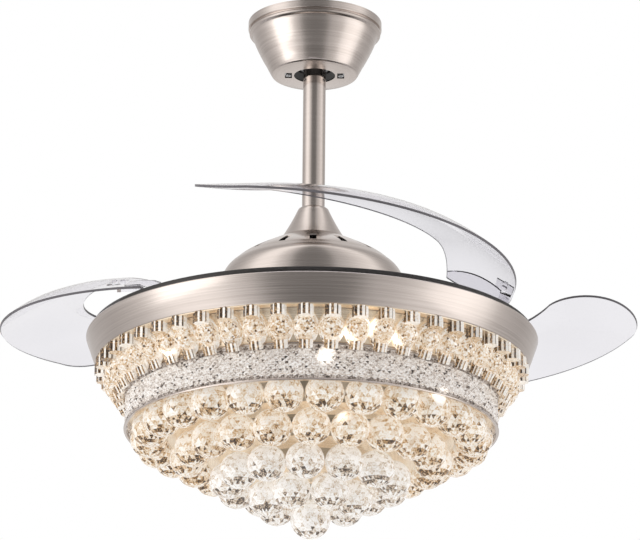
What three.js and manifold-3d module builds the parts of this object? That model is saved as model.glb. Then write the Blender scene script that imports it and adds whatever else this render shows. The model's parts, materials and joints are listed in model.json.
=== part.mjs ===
// Crystal ceiling fan with three folding blades, in millimetres, +Z up.
// The origin is on the ceiling plane, on the fan's axis. The photographed front looks along -Y.
import * as THREE from "three";
import { mergeVertices } from "three/addons/utils/BufferGeometryUtils.js";
import Module from "manifold-3d";

const wasm = await Module();
wasm.setup();

const full = Math.PI * 2;
const deg = THREE.MathUtils.degToRad;

// Fits and cuts
const seatGap = 0.3; // between faces that rest on each other
const runningGap = 0.3; // radial clearance of a turning fit
const overrun = 2; // how far a cutting tool passes the face that it cuts

// Levels: the head's own heights are measured from the top edge of the nickel ring
const ringTopDrop = 377; // ceiling to the top edge of the nickel ring

// Ceiling bracket and hanger ball
const bracketLength = 104;
const bracketWidth = 70;
const bracketPlate = 2.5;
const bracketCorner = 12;
const bracketLegX = 28.5;
const bracketLegWidth = 20;
const bracketFootReach = 9;
const bracketFootWidth = 14;
const ceilingScrewSpacing = 84;
const ceilingScrewRadius = 2.6;
const wireHoleRadius = 8;
const wireHoleSpacing = 58;
const collarWall = 7;
const collarTopDrop = 44;
const collarBottomDrop = 50;
const ballDrop = 40; // ceiling to the centre of the hanger ball
const ballRadius = 21.6;
const ballTopCut = 12;
const ballBottomCut = 15;
const crossPinRadius = 3;
const crossPinLength = 36;
const crossPinDrop = 36;

// Canopy
const canopyHeight = 62.6;
const canopyRimRadius = 75.4;
const canopyWall = 1.3;
const canopyHoleRadius = 23.2;
const canopySlotRadius = 29.5;
const canopySlotHole = 3.4;
const canopySlotSweep = 0.35;
const canopyScrewShank = 2;
const canopyScrewHead = 2.9;
const canopyScrewHeadHeight = 1.8;
// Outer outline from the rim down to the hole, as shares of the rim radius and of the height
const canopyOutlineShares = [
  [1, 0], [1, 0.125], [0.968, 0.15], [0.982, 0.225], [0.935, 0.25], [0.842, 0.535], [0.765, 0.71],
  [0.69, 0.853], [0.665, 0.94], [0.622, 1],
];
const canopyLiningShares = [[0.968, 0], [0.935, 0.25], [0.842, 0.525], [0.62, 0.979]];

// Remote receiver
const receiverLength = 54;
const receiverWidth = 20;
const receiverHeight = 13;
const receiverSetback = 23;

// Downrod and coupling
const rodRadius = 12.7;
const rodHoleReach = 38; // length of the tool that drills across the rod
const rodWall = 2;
const rodTopDrop = 26;
const rodBottom = 120;
const yokeFlangeRadius = 30;
const yokeFlangeTop = 116.2;
const yokeFlangeThickness = 6;
const yokeBarrelRadius = 16.4;
const yokeHoleReach = 49; // length of the tool that drills across the barrel
const yokeTop = 141;
const yokeBossRadius = 14;
const yokeBossBottom = 97;
const yokePinRadius = 3;
const yokePinLength = 31;
const yokePinHeight = 129;
const coverTop = 155;
const coverBaseRadius = 36;
const coverTopRadius = 15.6;
const coverWall = 1.3;
const coverSlant = 1.14; // how much wider than its thickness the sloped wall is, measured across
// Side of the cone from its base to its neck, as shares of the way in and of the way up
const coverOutlineShares = [[0, 0], [0.9, 0.95], [1, 1]];

// Motor dome
const domeTop = 118;
const domeLedge = 1; // of the flat top, round the cover
const domeTopRadius = coverBaseRadius + domeLedge;
const domeBottom = 9;
const domeBottomRadius = 104;
const domeWall = 1.5;
const domeHoleRadius = 21;
// Setbacks from the dome's lower edge, and the heights at which they are reached
const domeShoulderSetback = 29;
const domeShoulderHeight = 98;
const domeFlankSetback = 11;
const domeFlankHeight = 83.5;
const domeBellySetback = 1.6;
const domeBellyHeight = 58;
const domeShoulderRadius = domeBottomRadius - domeShoulderSetback;
const domeFlankRadius = domeBottomRadius - domeFlankSetback;
const domeBellyRadius = domeBottomRadius - domeBellySetback;
const domeFlankSteps = 4;
const ventCount = 15;
const ventLap = 0.6; // how far the vents run past the shoulder
const ventLength = 10.6;
const ventOuterRadius = domeShoulderRadius + ventLap;
const ventInnerRadius = ventOuterRadius - ventLength;
const ventWidth = 5.4;
const ventDepth = 8; // how far below the shoulder the vents are cut
const ventTopHeight = domeTop + 2 * overrun;
const ventBottomHeight = domeShoulderHeight - ventDepth;

// Motor
const shaftRadius = 8.5;
const shaftBore = 5;
const shaftBottom = -40;
const shaftTop = 115.5;
const rotorClearance = 14; // inside the dome's lower edge
const rotorRadius = domeBottomRadius - rotorClearance;
const rotorWall = 2;
const rotorPlate = 3;
const rotorBottom = 5.3;
const rotorSplit = 44;
const rotorShoulder = 70;
const rotorTop = 86;
const rotorCrownSetback = 18;
const rotorCrownRadius = rotorRadius - rotorCrownSetback;
const rotorHubRadius = 22;
const rotorHubDepth = 9;
const bearingRadius = 17.5;
const bearingWidth = 9;
const bearingGroove = 0.8;
const magnetReach = 9.2; // from the rotor's outside in to the magnets' poles
const magnetInner = rotorRadius - magnetReach;
const airGap = 1.8;
const statorRadius = magnetInner - airGap;
const statorBottom = 34;
const statorTop = 58;
const statorTeeth = 9;
const statorRim = 9; // from the stator's outside in to its slots
const statorSlotDepth = 26;
const statorSlotOuter = statorRadius - statorRim;
const statorSlotInner = statorSlotOuter - statorSlotDepth;
const windingSlack = 6; // how much shorter than its slot a coil bar is
const statorSlotWidth = 19;
const statorSlotMouth = 3;
const windingInset = 2; // from the slot's inner end
const windingSetback = 3; // from the slot's outer end
const windingInner = statorSlotInner + windingInset;
const windingOuter = statorSlotOuter - windingSetback;
const windingBarWidth = 7;
const windingDepth = 11;
const magnetHalfHeight = 16;

// Nickel ring and light pan
const ringTopRadius = 250;
const ringBottomShare = 0.956; // of the ring's top radius
const ringBottomRadius = ringTopRadius * ringBottomShare;
const ringHeight = 31;
const ringWall = 1.5;
const ringFlangeReach = 25;
const panWall = 1.5;
const panUpstand = 3.2;
const nutRadius = 14;
const nutHeight = 6;
const driverInner = 22;
const driverOuter = 62;
const driverHeight = 22;
const driverDraft = 1.5;
const ledBoardSetback = 43; // from the ring's lower edge
const ledBoardWidth = 64;
const ledBoardOuter = ringBottomRadius - ledBoardSetback;
const ledBoardInner = ledBoardOuter - ledBoardWidth;
const ledInset = 21.3;
const ledBoardThickness = 1.5;
const ledCount = 10;
const ledRadius = 3;
const ledHeight = 1.6;
const ledSides = 4;

// Blade deck
const deckSetback = 5; // from the ring's top edge
const deckRadius = ringTopRadius - deckSetback;
const deckTop = 5;
const deckThickness = 1.6;
const deckHoleRadius = 62;
const deckRimWidth = 3.4;
const deckRimTop = 7;
const deckRimBottom = 0.6;

// Blade gears: three sectors in mesh with one ring that keeps the blades in step
const pivotShare = 0.89; // of the ring's top radius
const pivotRadius = ringTopRadius * pivotShare;
const sectorTeeth = 18;
const ringTeeth = 160;
const gearModule = (2 * pivotRadius) / (sectorTeeth + ringTeeth);
const pressureAngle = deg(20);
const toothAddendumShare = 0.9;
const toothDedendumShare = 1.3;
const toothBacklash = 0.35;
const sectorToothReach = 3; // teeth each side of the middle one
const ringToothReach = 4; // teeth each side of the middle gap
const ringPlainStep = 4; // tooth places between corners where the ring is plain
const gearTop = -6;
const gearThickness = 6;
const syncRingWidth = 10;
const spoolStudRadius = 2.2;
const spoolWaistRadius = 4.6;
const spoolFlangeRadius = 7;
const spoolFlange = 1.2;
const spoolCount = 3;

// Blade pivots
const pivotPinRadius = 3.9;
const pivotPinHead = 6.4;
const pivotPinHeadHeight = 3;
const pivotPinFlangeRadius = 15;
const pivotPinFlange = 1.6;
const pivotPinBottom = -24.5;
const spigotRadius = 8;
const hubRadius = 12;
const hubTop = 13.2;
const hubLift = 1; // running height of the hub above the deck
const springPostRadius = 1.3;
const springPostHeight = 5;
const springRadius = 8.6;
const springWire = 1.5;
const springCurls = 3;
const springPitch = 1.95;
const springLeg = 9;
const springSteps = 8;
const springSides = 5;

// Blades: each law is a curve from the root value, pulled by the middle value, to the end value
const bladeCount = 3;
const bladeStation = 67.4; // degrees from the front to the first pivot, towards +X
const bladeOpening = 37.6; // degrees from folded to the photographed pose
const bladeRootAngle = 2; // degrees from the pivot to the blade's root edge, in the folded pose
const bladeSweep = 117; // degrees of ring that the folded blade covers before its rounded end
const bladeInnerShares = [0.636, 0.508, 0.584];
const bladeOuterShares = [0.912, 0.9, 0.968];
const bladeInnerEdge = bladeInnerShares.map((share) => ringTopRadius * share);
const bladeOuterEdge = bladeOuterShares.map((share) => ringTopRadius * share);
const bladeInnerLift = [61, 53, 78];
const bladeOuterLift = [16.5, 28.5, 47.7];
const bladeCamber = [-4, 23.6, 4];
const bladeEndReach = 68;
const bladeThickness = 3.2;
const bladePadThickness = 2;
const bladePadShare = 0.13;
const bladePadEdgeShare = 0.012;
const bladeSpanSteps = 10;
const bladeEndSteps = 3;
const bladeChordSteps = 4;
const rootSpanShares = [0, 0.04, 0.085, bladePadShare - bladePadEdgeShare];
const armSpanShares = [-0.05, ...rootSpanShares.slice(0, 3)];
const armChordShares = [0.75, 1, 1.1];
const armThickness = 4;
const clampSpanShares = rootSpanShares.slice(1, 3);
const clampChordShares = [0.75, 1];
const clampThickness = 1.4;
const clampScrewRadius = 3.2;
const clampScrewHeight = 2;
const clampScrewShares = [0.25, 0.75];
const clampScrewChordShare = 0.875;
const headRoom = 1;

// Crystal carrier, jewel ring and patterned band
const carrierTopShare = 0.888; // of the ring's top radius
const carrierBottomShare = 0.828;
const carrierTopRadius = ringTopRadius * carrierTopShare;
const carrierBottomRadius = ringTopRadius * carrierBottomShare;
const carrierTop = -31.3;
const carrierBottom = -63.5;
const carrierWall = 1.5;
const carrierTopFlange = 10;
const carrierInnerFlange = 13;
const jewelCount = 50;
const jewelBackingWall = 2;
const jewelTop = -31.4;
const jewelBottom = -73;
const jewelWidth = 25;
const jewelReach = 16;
const jewelTurn = deg(-1.75); // from the front to the nearest crown
const jewelPitchShare = 1 / 6; // from a jewel's middle to the rows of its lining, in pitches
// Rows from the top of a crown to the foot: share of the height, of the reach and of the width
const jewelRowShares = [
  { down: 0, out: 0.95, wide: 0.56 }, { down: 0.25, out: 1.1, wide: 0.56 }, { down: 0.52, out: 0.98, wide: 1 },
  { down: 0.84, out: 0.45, wide: 0.6 }, { down: 1, out: 0.12, wide: 0.4 },
];
const jewelLiningRows = [jewelBottom, carrierBottom, jewelTop];
const bandShare = 0.816; // of the ring's top radius
const bandWall = 2.2;
const bandOuterRadius = ringTopRadius * bandShare;
const bandRelief = 1.8;
const bandInnerRadius = bandOuterRadius - bandWall;
const bandTop = -66;
const bandBottom = -103.4;
const bandColumns = 50;
const bandRows = 3;
const rimDepth = 3;
const rimSetback = 1.2;
const rimHeight = 1.9;

// Crystal tiers: stepped trays from which the balls hang
const ballShare = 0.082; // of the ring's top radius
const ballCrystalRadius = ringTopRadius * ballShare;
const icosahedronLean = Math.atan(2 / (1 + Math.sqrt(5))); // from its own Y axis to its nearest corner
const trayWall = 1.5;
const trayFlangeReach = 5;
const ballBite = 1.2; // how far a ball's top corner is cemented into its tray
const trayClearance = 2.1; // between the band and the first tray
const trayRise = 12.2; // from the band's lower edge up to the first tray
const trayDrops = [0, 24, 49, 70]; // from the first tray down to each tray
// Lower trays, tray openings and circles of balls, as shares of the ring's top radius
const trayOuterShares = [0.628, 0.452, 0.2784];
const trayHoleShares = [0.624, 0.448, 0.276, 0];
const ballCircleShares = [0.712, 0.536, 0.36, 0.192];
const ballCounts = [26, 20, 13, 7];
const ballTurnShares = [0.32, 0, -0.15, 0.5]; // of the step from ball to ball
const trayOuters = [bandInnerRadius - trayClearance, ...trayOuterShares.map((share) => ringTopRadius * share)];
const tiers = ballCounts.map((count, i) => ({
  name: `crystal_tier_${i + 1}`,
  outer: trayOuters[i],
  inner: ringTopRadius * trayHoleShares[i],
  level: bandBottom + trayRise - trayDrops[i],
  ring: ringTopRadius * ballCircleShares[i],
  count,
  turn: ballTurnShares[i],
}));
const dropBallRadius = 22;
const dropBallCentre = -203;
const dropBallSides = 8;
const dropStemRadius = 1.6;
const dropWasherRadius = 6;
const dropWasherHeight = 1.6;

// Facets of round pieces
const ringSides = 40;
const rimSides = 30;
const deckSides = 32;
const domeSides = 30;
const canopySides = 24;
const traySides = 18;
const motorSides = 18;
const smallSides = 12;
const pinSides = 8;
const hexSides = 6;

// Materials
const finish = (color, metalness, roughness) =>
  new THREE.MeshStandardMaterial({ color, metalness, roughness });
const clearFinish = (color, opacity, roughness) =>
  new THREE.MeshStandardMaterial({ color, metalness: 0, roughness, transparent: true, opacity });
const nickel = finish(0xb9aea4, 1, 0.32);
const zincSteel = finish(0xa8abad, 1, 0.45);
const blackPaint = finish(0x1c1a19, 0.1, 0.5);
const laminated = finish(0x6f6f72, 0.8, 0.55);
const copper = finish(0xb5672f, 1, 0.4);
const magnetGrey = finish(0x3a3b3d, 0.4, 0.6);
const whitePlastic = finish(0xe9e7e2, 0, 0.5);
const acetal = finish(0xd9d6cc, 0, 0.45);
const champagne = finish(0xd9b98a, 1, 0.25);
const crystal = clearFinish(0xf3ebdd, 0.6, 0.05);
const bladePlastic = clearFinish(0xdfe0ea, 0.35, 0.08);

// A closed three.js geometry as a solid, its shared vertices merged and its collapsed faces dropped
function solid(geometry) {
  const flat = geometry.clone();
  for (const name of Object.keys(flat.attributes)) if (name !== "position") flat.deleteAttribute(name);
  const merged = mergeVertices(flat);
  const source = merged.index.array;
  const kept = [];
  for (let i = 0; i < source.length; i += 3) {
    const [a, b, c] = [source[i], source[i + 1], source[i + 2]];
    if (a !== b && b !== c && a !== c) kept.push(a, b, c);
  }
  const mesh = new wasm.Mesh({
    numProp: 3,
    vertProperties: new Float32Array(merged.attributes.position.array),
    triVerts: new Uint32Array(kept),
  });
  return new wasm.Manifold(mesh);
}

// A solid back as a three.js geometry
function geometryOf(body) {
  const mesh = body.getMesh();
  const geometry = new THREE.BufferGeometry();
  geometry.setAttribute("position", new THREE.BufferAttribute(new Float32Array(mesh.vertProperties), 3));
  geometry.setIndex(new THREE.BufferAttribute(new Uint32Array(mesh.triVerts), 1));
  geometry.computeVertexNormals();
  return geometry;
}

const joined = (solids) => solids.reduce((whole, next) => whole.add(next));

function piece(name, body, material, parent) {
  const mesh = new THREE.Mesh(body.isBufferGeometry ? body : geometryOf(body), material);
  mesh.name = name;
  parent.add(mesh);
  return mesh;
}

// A closed outline of [radius, height] turned about Z
function turned(outline, sides) {
  const points = outline.map(([radius, height]) => new THREE.Vector2(radius, height));
  if (THREE.ShapeUtils.area(points) < 0) points.reverse();
  points.push(points[0].clone());
  return new THREE.LatheGeometry(points, sides).rotateX(Math.PI / 2).rotateZ(Math.PI / 2);
}

const ringOutline = (inner, outer, bottom, top) =>
  [[inner, bottom], [outer, bottom], [outer, top], [inner, top]];

// A tube or disc between two radii and two heights
const turnedRing = (inner, outer, bottom, top, sides) => turned(ringOutline(inner, outer, bottom, top), sides);

// A round bar along Z between two heights, standing at a place in plan
function bar(radius, bottom, top, sides, x = 0, y = 0) {
  const geometry = new THREE.CylinderGeometry(radius, radius, top - bottom, sides);
  return geometry.rotateX(Math.PI / 2).translate(x, y, (top + bottom) / 2);
}

// A round bar centred at a height and lying along X or Y
function crossBar(radius, length, height, axis) {
  const geometry = new THREE.CylinderGeometry(radius, radius, length, pinSides);
  if (axis === "x") geometry.rotateZ(Math.PI / 2);
  return geometry.translate(0, 0, height);
}

// The corner radius of a many-sided hole whose flats lie at a radius
const acrossFlats = (radius, sides) => radius / Math.cos(Math.PI / sides);

function block(width, depth, height, x, y, z) {
  return new THREE.BoxGeometry(width, depth, height).translate(x, y, z);
}

// A point at a radius and an angle from the front, towards +X
const around = (radius, angle, height = 0) =>
  new THREE.Vector3(radius * Math.sin(angle), -radius * Math.cos(angle), height);

// Quadratic law through a root value and an end value, pulled by a middle value
const law = ([root, pull, end], share) => {
  const rest = 1 - share;
  return rest * rest * root + 2 * rest * share * pull + share * share * end;
};

// A closed slab between a lower and an upper grid of points with the same rows and columns
function slab(lower, upper) {
  const rows = lower.length;
  const columns = lower[0].length;
  const positions = [];
  const faces = [];
  for (const row of [...lower, ...upper]) for (const p of row) positions.push(p.x, p.y, p.z);
  const at = (side, i, j) => side * rows * columns + i * columns + j;
  const quad = (a, b, c, d) => faces.push(a, b, c, a, c, d);
  for (let i = 0; i < rows - 1; i++) {
    for (let j = 0; j < columns - 1; j++) {
      quad(at(0, i, j), at(0, i, j + 1), at(0, i + 1, j + 1), at(0, i + 1, j));
      quad(at(1, i, j), at(1, i + 1, j), at(1, i + 1, j + 1), at(1, i, j + 1));
    }
    quad(at(0, i, 0), at(0, i + 1, 0), at(1, i + 1, 0), at(1, i, 0));
    quad(at(0, i, columns - 1), at(1, i, columns - 1), at(1, i + 1, columns - 1), at(0, i + 1, columns - 1));
  }
  for (let j = 0; j < columns - 1; j++) {
    quad(at(0, 0, j), at(1, 0, j), at(1, 0, j + 1), at(0, 0, j + 1));
    quad(at(0, rows - 1, j), at(0, rows - 1, j + 1), at(1, rows - 1, j + 1), at(1, rows - 1, j));
  }
  const geometry = new THREE.BufferGeometry();
  geometry.setAttribute("position", new THREE.Float32BufferAttribute(positions, 3));
  geometry.setIndex(faces);
  return geometry;
}

// A ring skinned over closed sections with the same number of points, the last section joined to the first
function closedLoops(positions, rows) {
  const sections = positions.length / 3 / rows;
  const faces = [];
  for (let i = 0; i < sections; i++) {
    const next = ((i + 1) % sections) * rows;
    for (let j = 0; j < rows; j++) {
      const up = (j + 1) % rows;
      faces.push(i * rows + j, i * rows + up, next + up, i * rows + j, next + up, next + j);
    }
  }
  const geometry = new THREE.BufferGeometry();
  geometry.setAttribute("position", new THREE.Float32BufferAttribute(positions, 3));
  geometry.setIndex(faces);
  return geometry;
}

// Groups: what is fixed to the ceiling, what hangs from the ball, and what turns with the motor
const fan = new THREE.Group();
const head = new THREE.Group();
head.position.z = -ringTopDrop;
const rotor = new THREE.Group();
head.add(rotor);
fan.add(head);

// Ceiling bracket: a plate on the ceiling, two legs, and the collar that the hanger ball sits in
function ceilingBracket() {
  const plateShape = new THREE.Shape();
  const [x, y, r] = [bracketLength / 2, bracketWidth / 2, bracketCorner];
  plateShape.moveTo(-x + r, -y).lineTo(x - r, -y).lineTo(x, -y + r).lineTo(x, y - r);
  plateShape.lineTo(x - r, y).lineTo(-x + r, y).lineTo(-x, y - r).lineTo(-x, -y + r).closePath();
  const plate = new THREE.ExtrudeGeometry(plateShape, { depth: bracketPlate, bevelEnabled: false });
  plate.translate(0, 0, -bracketPlate);
  const footTop = -canopyHeight + canopyWall + seatGap + bracketPlate;
  const ballAt = (drop) => Math.sqrt(ballRadius ** 2 - (drop - ballDrop) ** 2);
  const seatRadius = (drop) => acrossFlats(ballAt(drop) + runningGap, smallSides);
  const collarOuter = seatRadius(collarTopDrop) + collarWall;
  const collar = turned([
    [seatRadius(collarTopDrop), -collarTopDrop], [seatRadius(collarBottomDrop), -collarBottomDrop],
    [collarOuter, -collarBottomDrop], [collarOuter, -collarTopDrop],
  ], smallSides);
  const parts = [solid(plate), solid(collar)];
  for (const side of [-1, 1]) {
    const legHeight = -bracketPlate / 2 - footTop + bracketPlate;
    const legMiddle = (-bracketPlate / 2 + footTop - bracketPlate) / 2;
    parts.push(solid(block(bracketPlate, bracketLegWidth, legHeight, side * bracketLegX, 0, legMiddle)));
    const footX = side * (bracketLegX - bracketPlate / 2 + bracketFootReach / 2);
    const footMiddle = footTop - bracketPlate / 2;
    parts.push(solid(block(bracketFootReach, bracketFootWidth, bracketPlate, footX, 0, footMiddle)));
  }
  let bracket = joined(parts);
  for (const side of [-1, 1]) {
    const screwX = (side * ceilingScrewSpacing) / 2;
    const screwHole = bar(ceilingScrewRadius, -bracketPlate - overrun, overrun, pinSides, screwX);
    const wireHoleX = (side * wireHoleSpacing) / 2;
    const wireHole = bar(wireHoleRadius, -bracketPlate - overrun, overrun, pinSides, wireHoleX);
    wireHole.rotateZ(Math.PI / 4);
    const canopyX = side * canopySlotRadius;
    const threadHole = bar(canopyScrewShank + runningGap, -canopyHeight, footTop + overrun, pinSides, canopyX);
    bracket = bracket.subtract(solid(screwHole)).subtract(solid(wireHole)).subtract(solid(threadHole));
  }
  return bracket;
}
piece("ceiling_bracket", ceilingBracket(), zincSteel, fan);

// Hanger ball, cut flat above and below and bored for the rod
function hangerBall() {
  const steps = 4;
  const outline = [];
  const low = -Math.asin(ballBottomCut / ballRadius);
  const high = Math.asin(ballTopCut / ballRadius);
  for (let i = 0; i <= steps; i++) {
    const angle = low + ((high - low) * i) / steps;
    outline.push([ballRadius * Math.cos(angle), ballRadius * Math.sin(angle) - ballDrop]);
  }
  outline.push([rodRadius + seatGap, ballTopCut - ballDrop], [rodRadius + seatGap, -ballBottomCut - ballDrop]);
  const pinHole = crossBar(crossPinRadius + seatGap, ballRadius * 2 + overrun, -crossPinDrop, "y");
  return solid(turned(outline, smallSides)).subtract(solid(pinHole));
}
piece("hanger_ball", hangerBall(), blackPaint, fan);
piece("ball_cross_pin", crossBar(crossPinRadius, crossPinLength, -crossPinDrop, "y"), zincSteel, fan);

// Canopy: a spun cup with a beaded rim, a hole for the rod and two slots for its screws
function canopy() {
  const place = ([r, h]) => [r * canopyRimRadius, -h * canopyHeight];
  const lining = canopyLiningShares.map(place).map(([r, z]) => [r - canopyWall, z]);
  const outline = [...canopyOutlineShares.map(place), [canopyHoleRadius, -canopyHeight]];
  outline.push([canopyHoleRadius, canopyWall - canopyHeight], ...lining.reverse());
  let cup = solid(turned(outline, canopySides));
  for (const side of [0, Math.PI]) {
    const slot = new THREE.Shape();
    const steps = 2;
    for (let i = 0; i <= steps; i++) {
      const p = around(canopySlotRadius - canopyScrewShank, (canopySlotSweep * i) / steps);
      if (i) slot.lineTo(p.x, p.y);
      else slot.moveTo(p.x, p.y);
    }
    for (let i = steps; i >= 0; i--) {
      const p = around(canopySlotRadius + canopyScrewShank, (canopySlotSweep * i) / steps);
      slot.lineTo(p.x, p.y);
    }
    slot.closePath();
    const cut = new THREE.ExtrudeGeometry(slot, { depth: canopyWall + 2 * overrun, bevelEnabled: false });
    cut.translate(0, 0, -canopyHeight - overrun);
    const round = bar(canopySlotHole, -canopyHeight - overrun, canopyWall + overrun - canopyHeight, pinSides);
    round.translate(0, -canopySlotRadius, 0);
    const turn = side + Math.PI / 2;
    cup = cup.subtract(solid(cut.rotateZ(turn))).subtract(solid(round.rotateZ(turn)));
  }
  return cup;
}
piece("canopy", canopy(), nickel, fan);
[-1, 1].forEach((side, i) => {
  const x = side * canopySlotRadius;
  const headTop = -canopyHeight - seatGap + canopyWall;
  const shankTop = headTop + bracketPlate + overrun;
  const shank = bar(canopyScrewShank, headTop - canopyScrewHeadHeight / 2, shankTop, pinSides, x);
  const headDisc = bar(canopyScrewHead, headTop - canopyScrewHeadHeight, headTop, pinSides, x);
  piece(`canopy_screw_${i + 1}`, joined([solid(shank), solid(headDisc)]), zincSteel, fan);
});

// Receiver: a flat case with its two lower edges sloped
function remoteReceiver() {
  const [end, edge, slope] = [receiverLength / 2, receiverHeight / 2, receiverHeight / 4];
  const outline = new THREE.Shape();
  outline.moveTo(-end, -edge).lineTo(end, -edge).lineTo(end, slope).lineTo(end - slope, edge);
  outline.lineTo(slope - end, edge).lineTo(-end, slope).closePath();
  const box = new THREE.ExtrudeGeometry(outline, { depth: receiverWidth, bevelEnabled: false });
  box.translate(0, 0, -receiverWidth / 2).rotateX(-Math.PI / 2);
  return box.translate(0, receiverSetback, -bracketPlate - seatGap - edge);
}
piece("remote_receiver", remoteReceiver(), whitePlastic, fan);

// Downrod with its two cross holes
function downrod() {
  const tube = turnedRing(rodRadius - rodWall, rodRadius, rodBottom - ringTopDrop, -rodTopDrop, smallSides);
  const upper = crossBar(crossPinRadius + seatGap, rodHoleReach, -crossPinDrop, "y");
  const lower = crossBar(yokePinRadius + seatGap, rodHoleReach, yokePinHeight - ringTopDrop, "x");
  return solid(tube).subtract(solid(upper)).subtract(solid(lower));
}
piece("downrod", downrod(), nickel, fan);

// Yoke: barrel round the rod, flange for the dome, boss for the shaft
function motorYoke() {
  const flangeBottom = yokeFlangeTop - yokeFlangeThickness;
  const rodFloor = rodBottom - seatGap;
  const outline = [
    [shaftRadius + seatGap, yokeBossBottom], [yokeBossRadius, yokeBossBottom], [yokeBossRadius, flangeBottom],
    [yokeFlangeRadius, flangeBottom], [yokeFlangeRadius, yokeFlangeTop], [yokeBarrelRadius, yokeFlangeTop],
    [yokeBarrelRadius, yokeTop], [rodRadius + seatGap, yokeTop], [rodRadius + seatGap, rodFloor],
    [shaftRadius + seatGap, rodFloor],
  ];
  const pinHole = crossBar(yokePinRadius + seatGap, yokeHoleReach, yokePinHeight, "x");
  return solid(turned(outline, smallSides)).subtract(solid(pinHole));
}
piece("motor_yoke", motorYoke(), zincSteel, head);
piece("yoke_pin", crossBar(yokePinRadius, yokePinLength, yokePinHeight, "x"), zincSteel, head);

// Coupling cover: a flared spun cone round the lower end of the rod
function couplingCover() {
  const base = domeTop + seatGap;
  const height = coverTop - base;
  const bore = rodRadius + seatGap;
  const outer = coverOutlineShares.map(([inward, up]) => [
    coverBaseRadius + (coverTopRadius - coverBaseRadius) * inward, base + height * up,
  ]);
  const lining = coverOutlineShares.map(([inward, up], i) => [
    Math.max(outer[i][0] - coverWall * coverSlant, bore), base + (height - coverWall) * up,
  ]);
  return turned([...outer, [bore, coverTop], ...lining.reverse()], motorSides);
}
piece("coupling_cover", couplingCover(), nickel, head);

// Motor dome: a spun shell with a creased shoulder and radial vents
function motorDome() {
  const guides = [
    [domeShoulderRadius, domeShoulderHeight], [domeFlankRadius, domeFlankHeight],
    [domeBellyRadius, domeBellyHeight], [domeBottomRadius, domeBottom],
  ];
  const curve = new THREE.CatmullRomCurve3(guides.map(([r, z]) => new THREE.Vector3(r, z, 0)));
  const flank = curve.getPoints(domeFlankSteps).map((p) => [p.x, p.y]);
  const outer = [[domeHoleRadius, domeTop], [domeTopRadius, domeTop], ...flank];
  const inner = [
    [domeHoleRadius, domeTop - domeWall], [domeTopRadius, domeTop - domeWall],
    [flank[0][0], flank[0][1] - domeWall], [flank[1][0] - domeWall, flank[1][1] - domeWall],
    ...flank.slice(2).map(([r, z]) => [r - domeWall, z]),
  ];
  const shell = solid(turned([...outer, ...inner.reverse()], domeSides));
  const cuts = [];
  const length = ventOuterRadius - ventInnerRadius;
  const height = ventTopHeight - ventBottomHeight;
  for (let i = 0; i < ventCount; i++) {
    const cut = block(ventWidth, length, height, 0, 0, ventBottomHeight + height / 2);
    cut.translate(0, -ventInnerRadius - length / 2, 0).rotateZ((full * i) / ventCount);
    cuts.push(solid(cut));
  }
  return shell.subtract(joined(cuts));
}
piece("motor_dome", motorDome(), nickel, head);

// Motor: hollow shaft, stator and winding on it, and the shells and magnets that turn round them
piece("hollow_shaft", turnedRing(shaftBore, shaftRadius, shaftBottom, shaftTop, smallSides), zincSteel, head);

function statorCore() {
  const outline = new THREE.Shape();
  const pitch = full / statorTeeth;
  for (let i = 0; i < statorTeeth; i++) {
    const middle = pitch * (i + 0.5);
    const mouth = statorSlotMouth / 2 / statorRadius;
    const corners = [
      [statorRadius, middle - pitch / 4], [statorRadius, middle - mouth],
      [statorSlotOuter, middle - mouth], [statorSlotOuter, middle - statorSlotWidth / 2 / statorSlotOuter],
      [statorSlotInner, middle - statorSlotWidth / 4 / statorSlotInner],
      [statorSlotInner, middle + statorSlotWidth / 4 / statorSlotInner],
      [statorSlotOuter, middle + statorSlotWidth / 2 / statorSlotOuter], [statorSlotOuter, middle + mouth],
      [statorRadius, middle + mouth], [statorRadius, middle + pitch / 4],
    ];
    corners.forEach(([radius, angle], j) => {
      const p = around(radius, angle);
      if (i + j) outline.lineTo(p.x, p.y);
      else outline.moveTo(p.x, p.y);
    });
  }
  outline.closePath();
  const bore = new THREE.Path().absarc(0, 0, shaftRadius + seatGap, 0, full, true);
  outline.holes.push(bore);
  const stack = new THREE.ExtrudeGeometry(outline, {
    depth: statorTop - statorBottom, bevelEnabled: false, curveSegments: smallSides / 2,
  });
  return stack.translate(0, 0, statorBottom);
}
piece("stator_core", statorCore(), laminated, head);

// Winding: a coil head above and below the core, joined by a bar through each slot
const coilHead = (bottom, top) => solid(turnedRing(windingInner, windingOuter, bottom, top, smallSides));
function statorWinding() {
  const parts = [
    coilHead(statorTop + seatGap, statorTop + windingDepth),
    coilHead(statorBottom - windingDepth, statorBottom - seatGap),
  ];
  const middle = (statorTop + statorBottom) / 2;
  const depth = statorSlotOuter - statorSlotInner - windingSlack;
  const barHeight = statorTop - statorBottom + 2 * overrun;
  for (let i = 0; i < statorTeeth; i++) {
    const wire = block(windingBarWidth, depth, barHeight, 0, -(statorSlotInner + statorSlotOuter) / 2, middle);
    parts.push(solid(wire.rotateZ((full * (i + 0.5)) / statorTeeth)));
  }
  return joined(parts);
}
piece("stator_winding", statorWinding(), copper, head);

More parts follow.
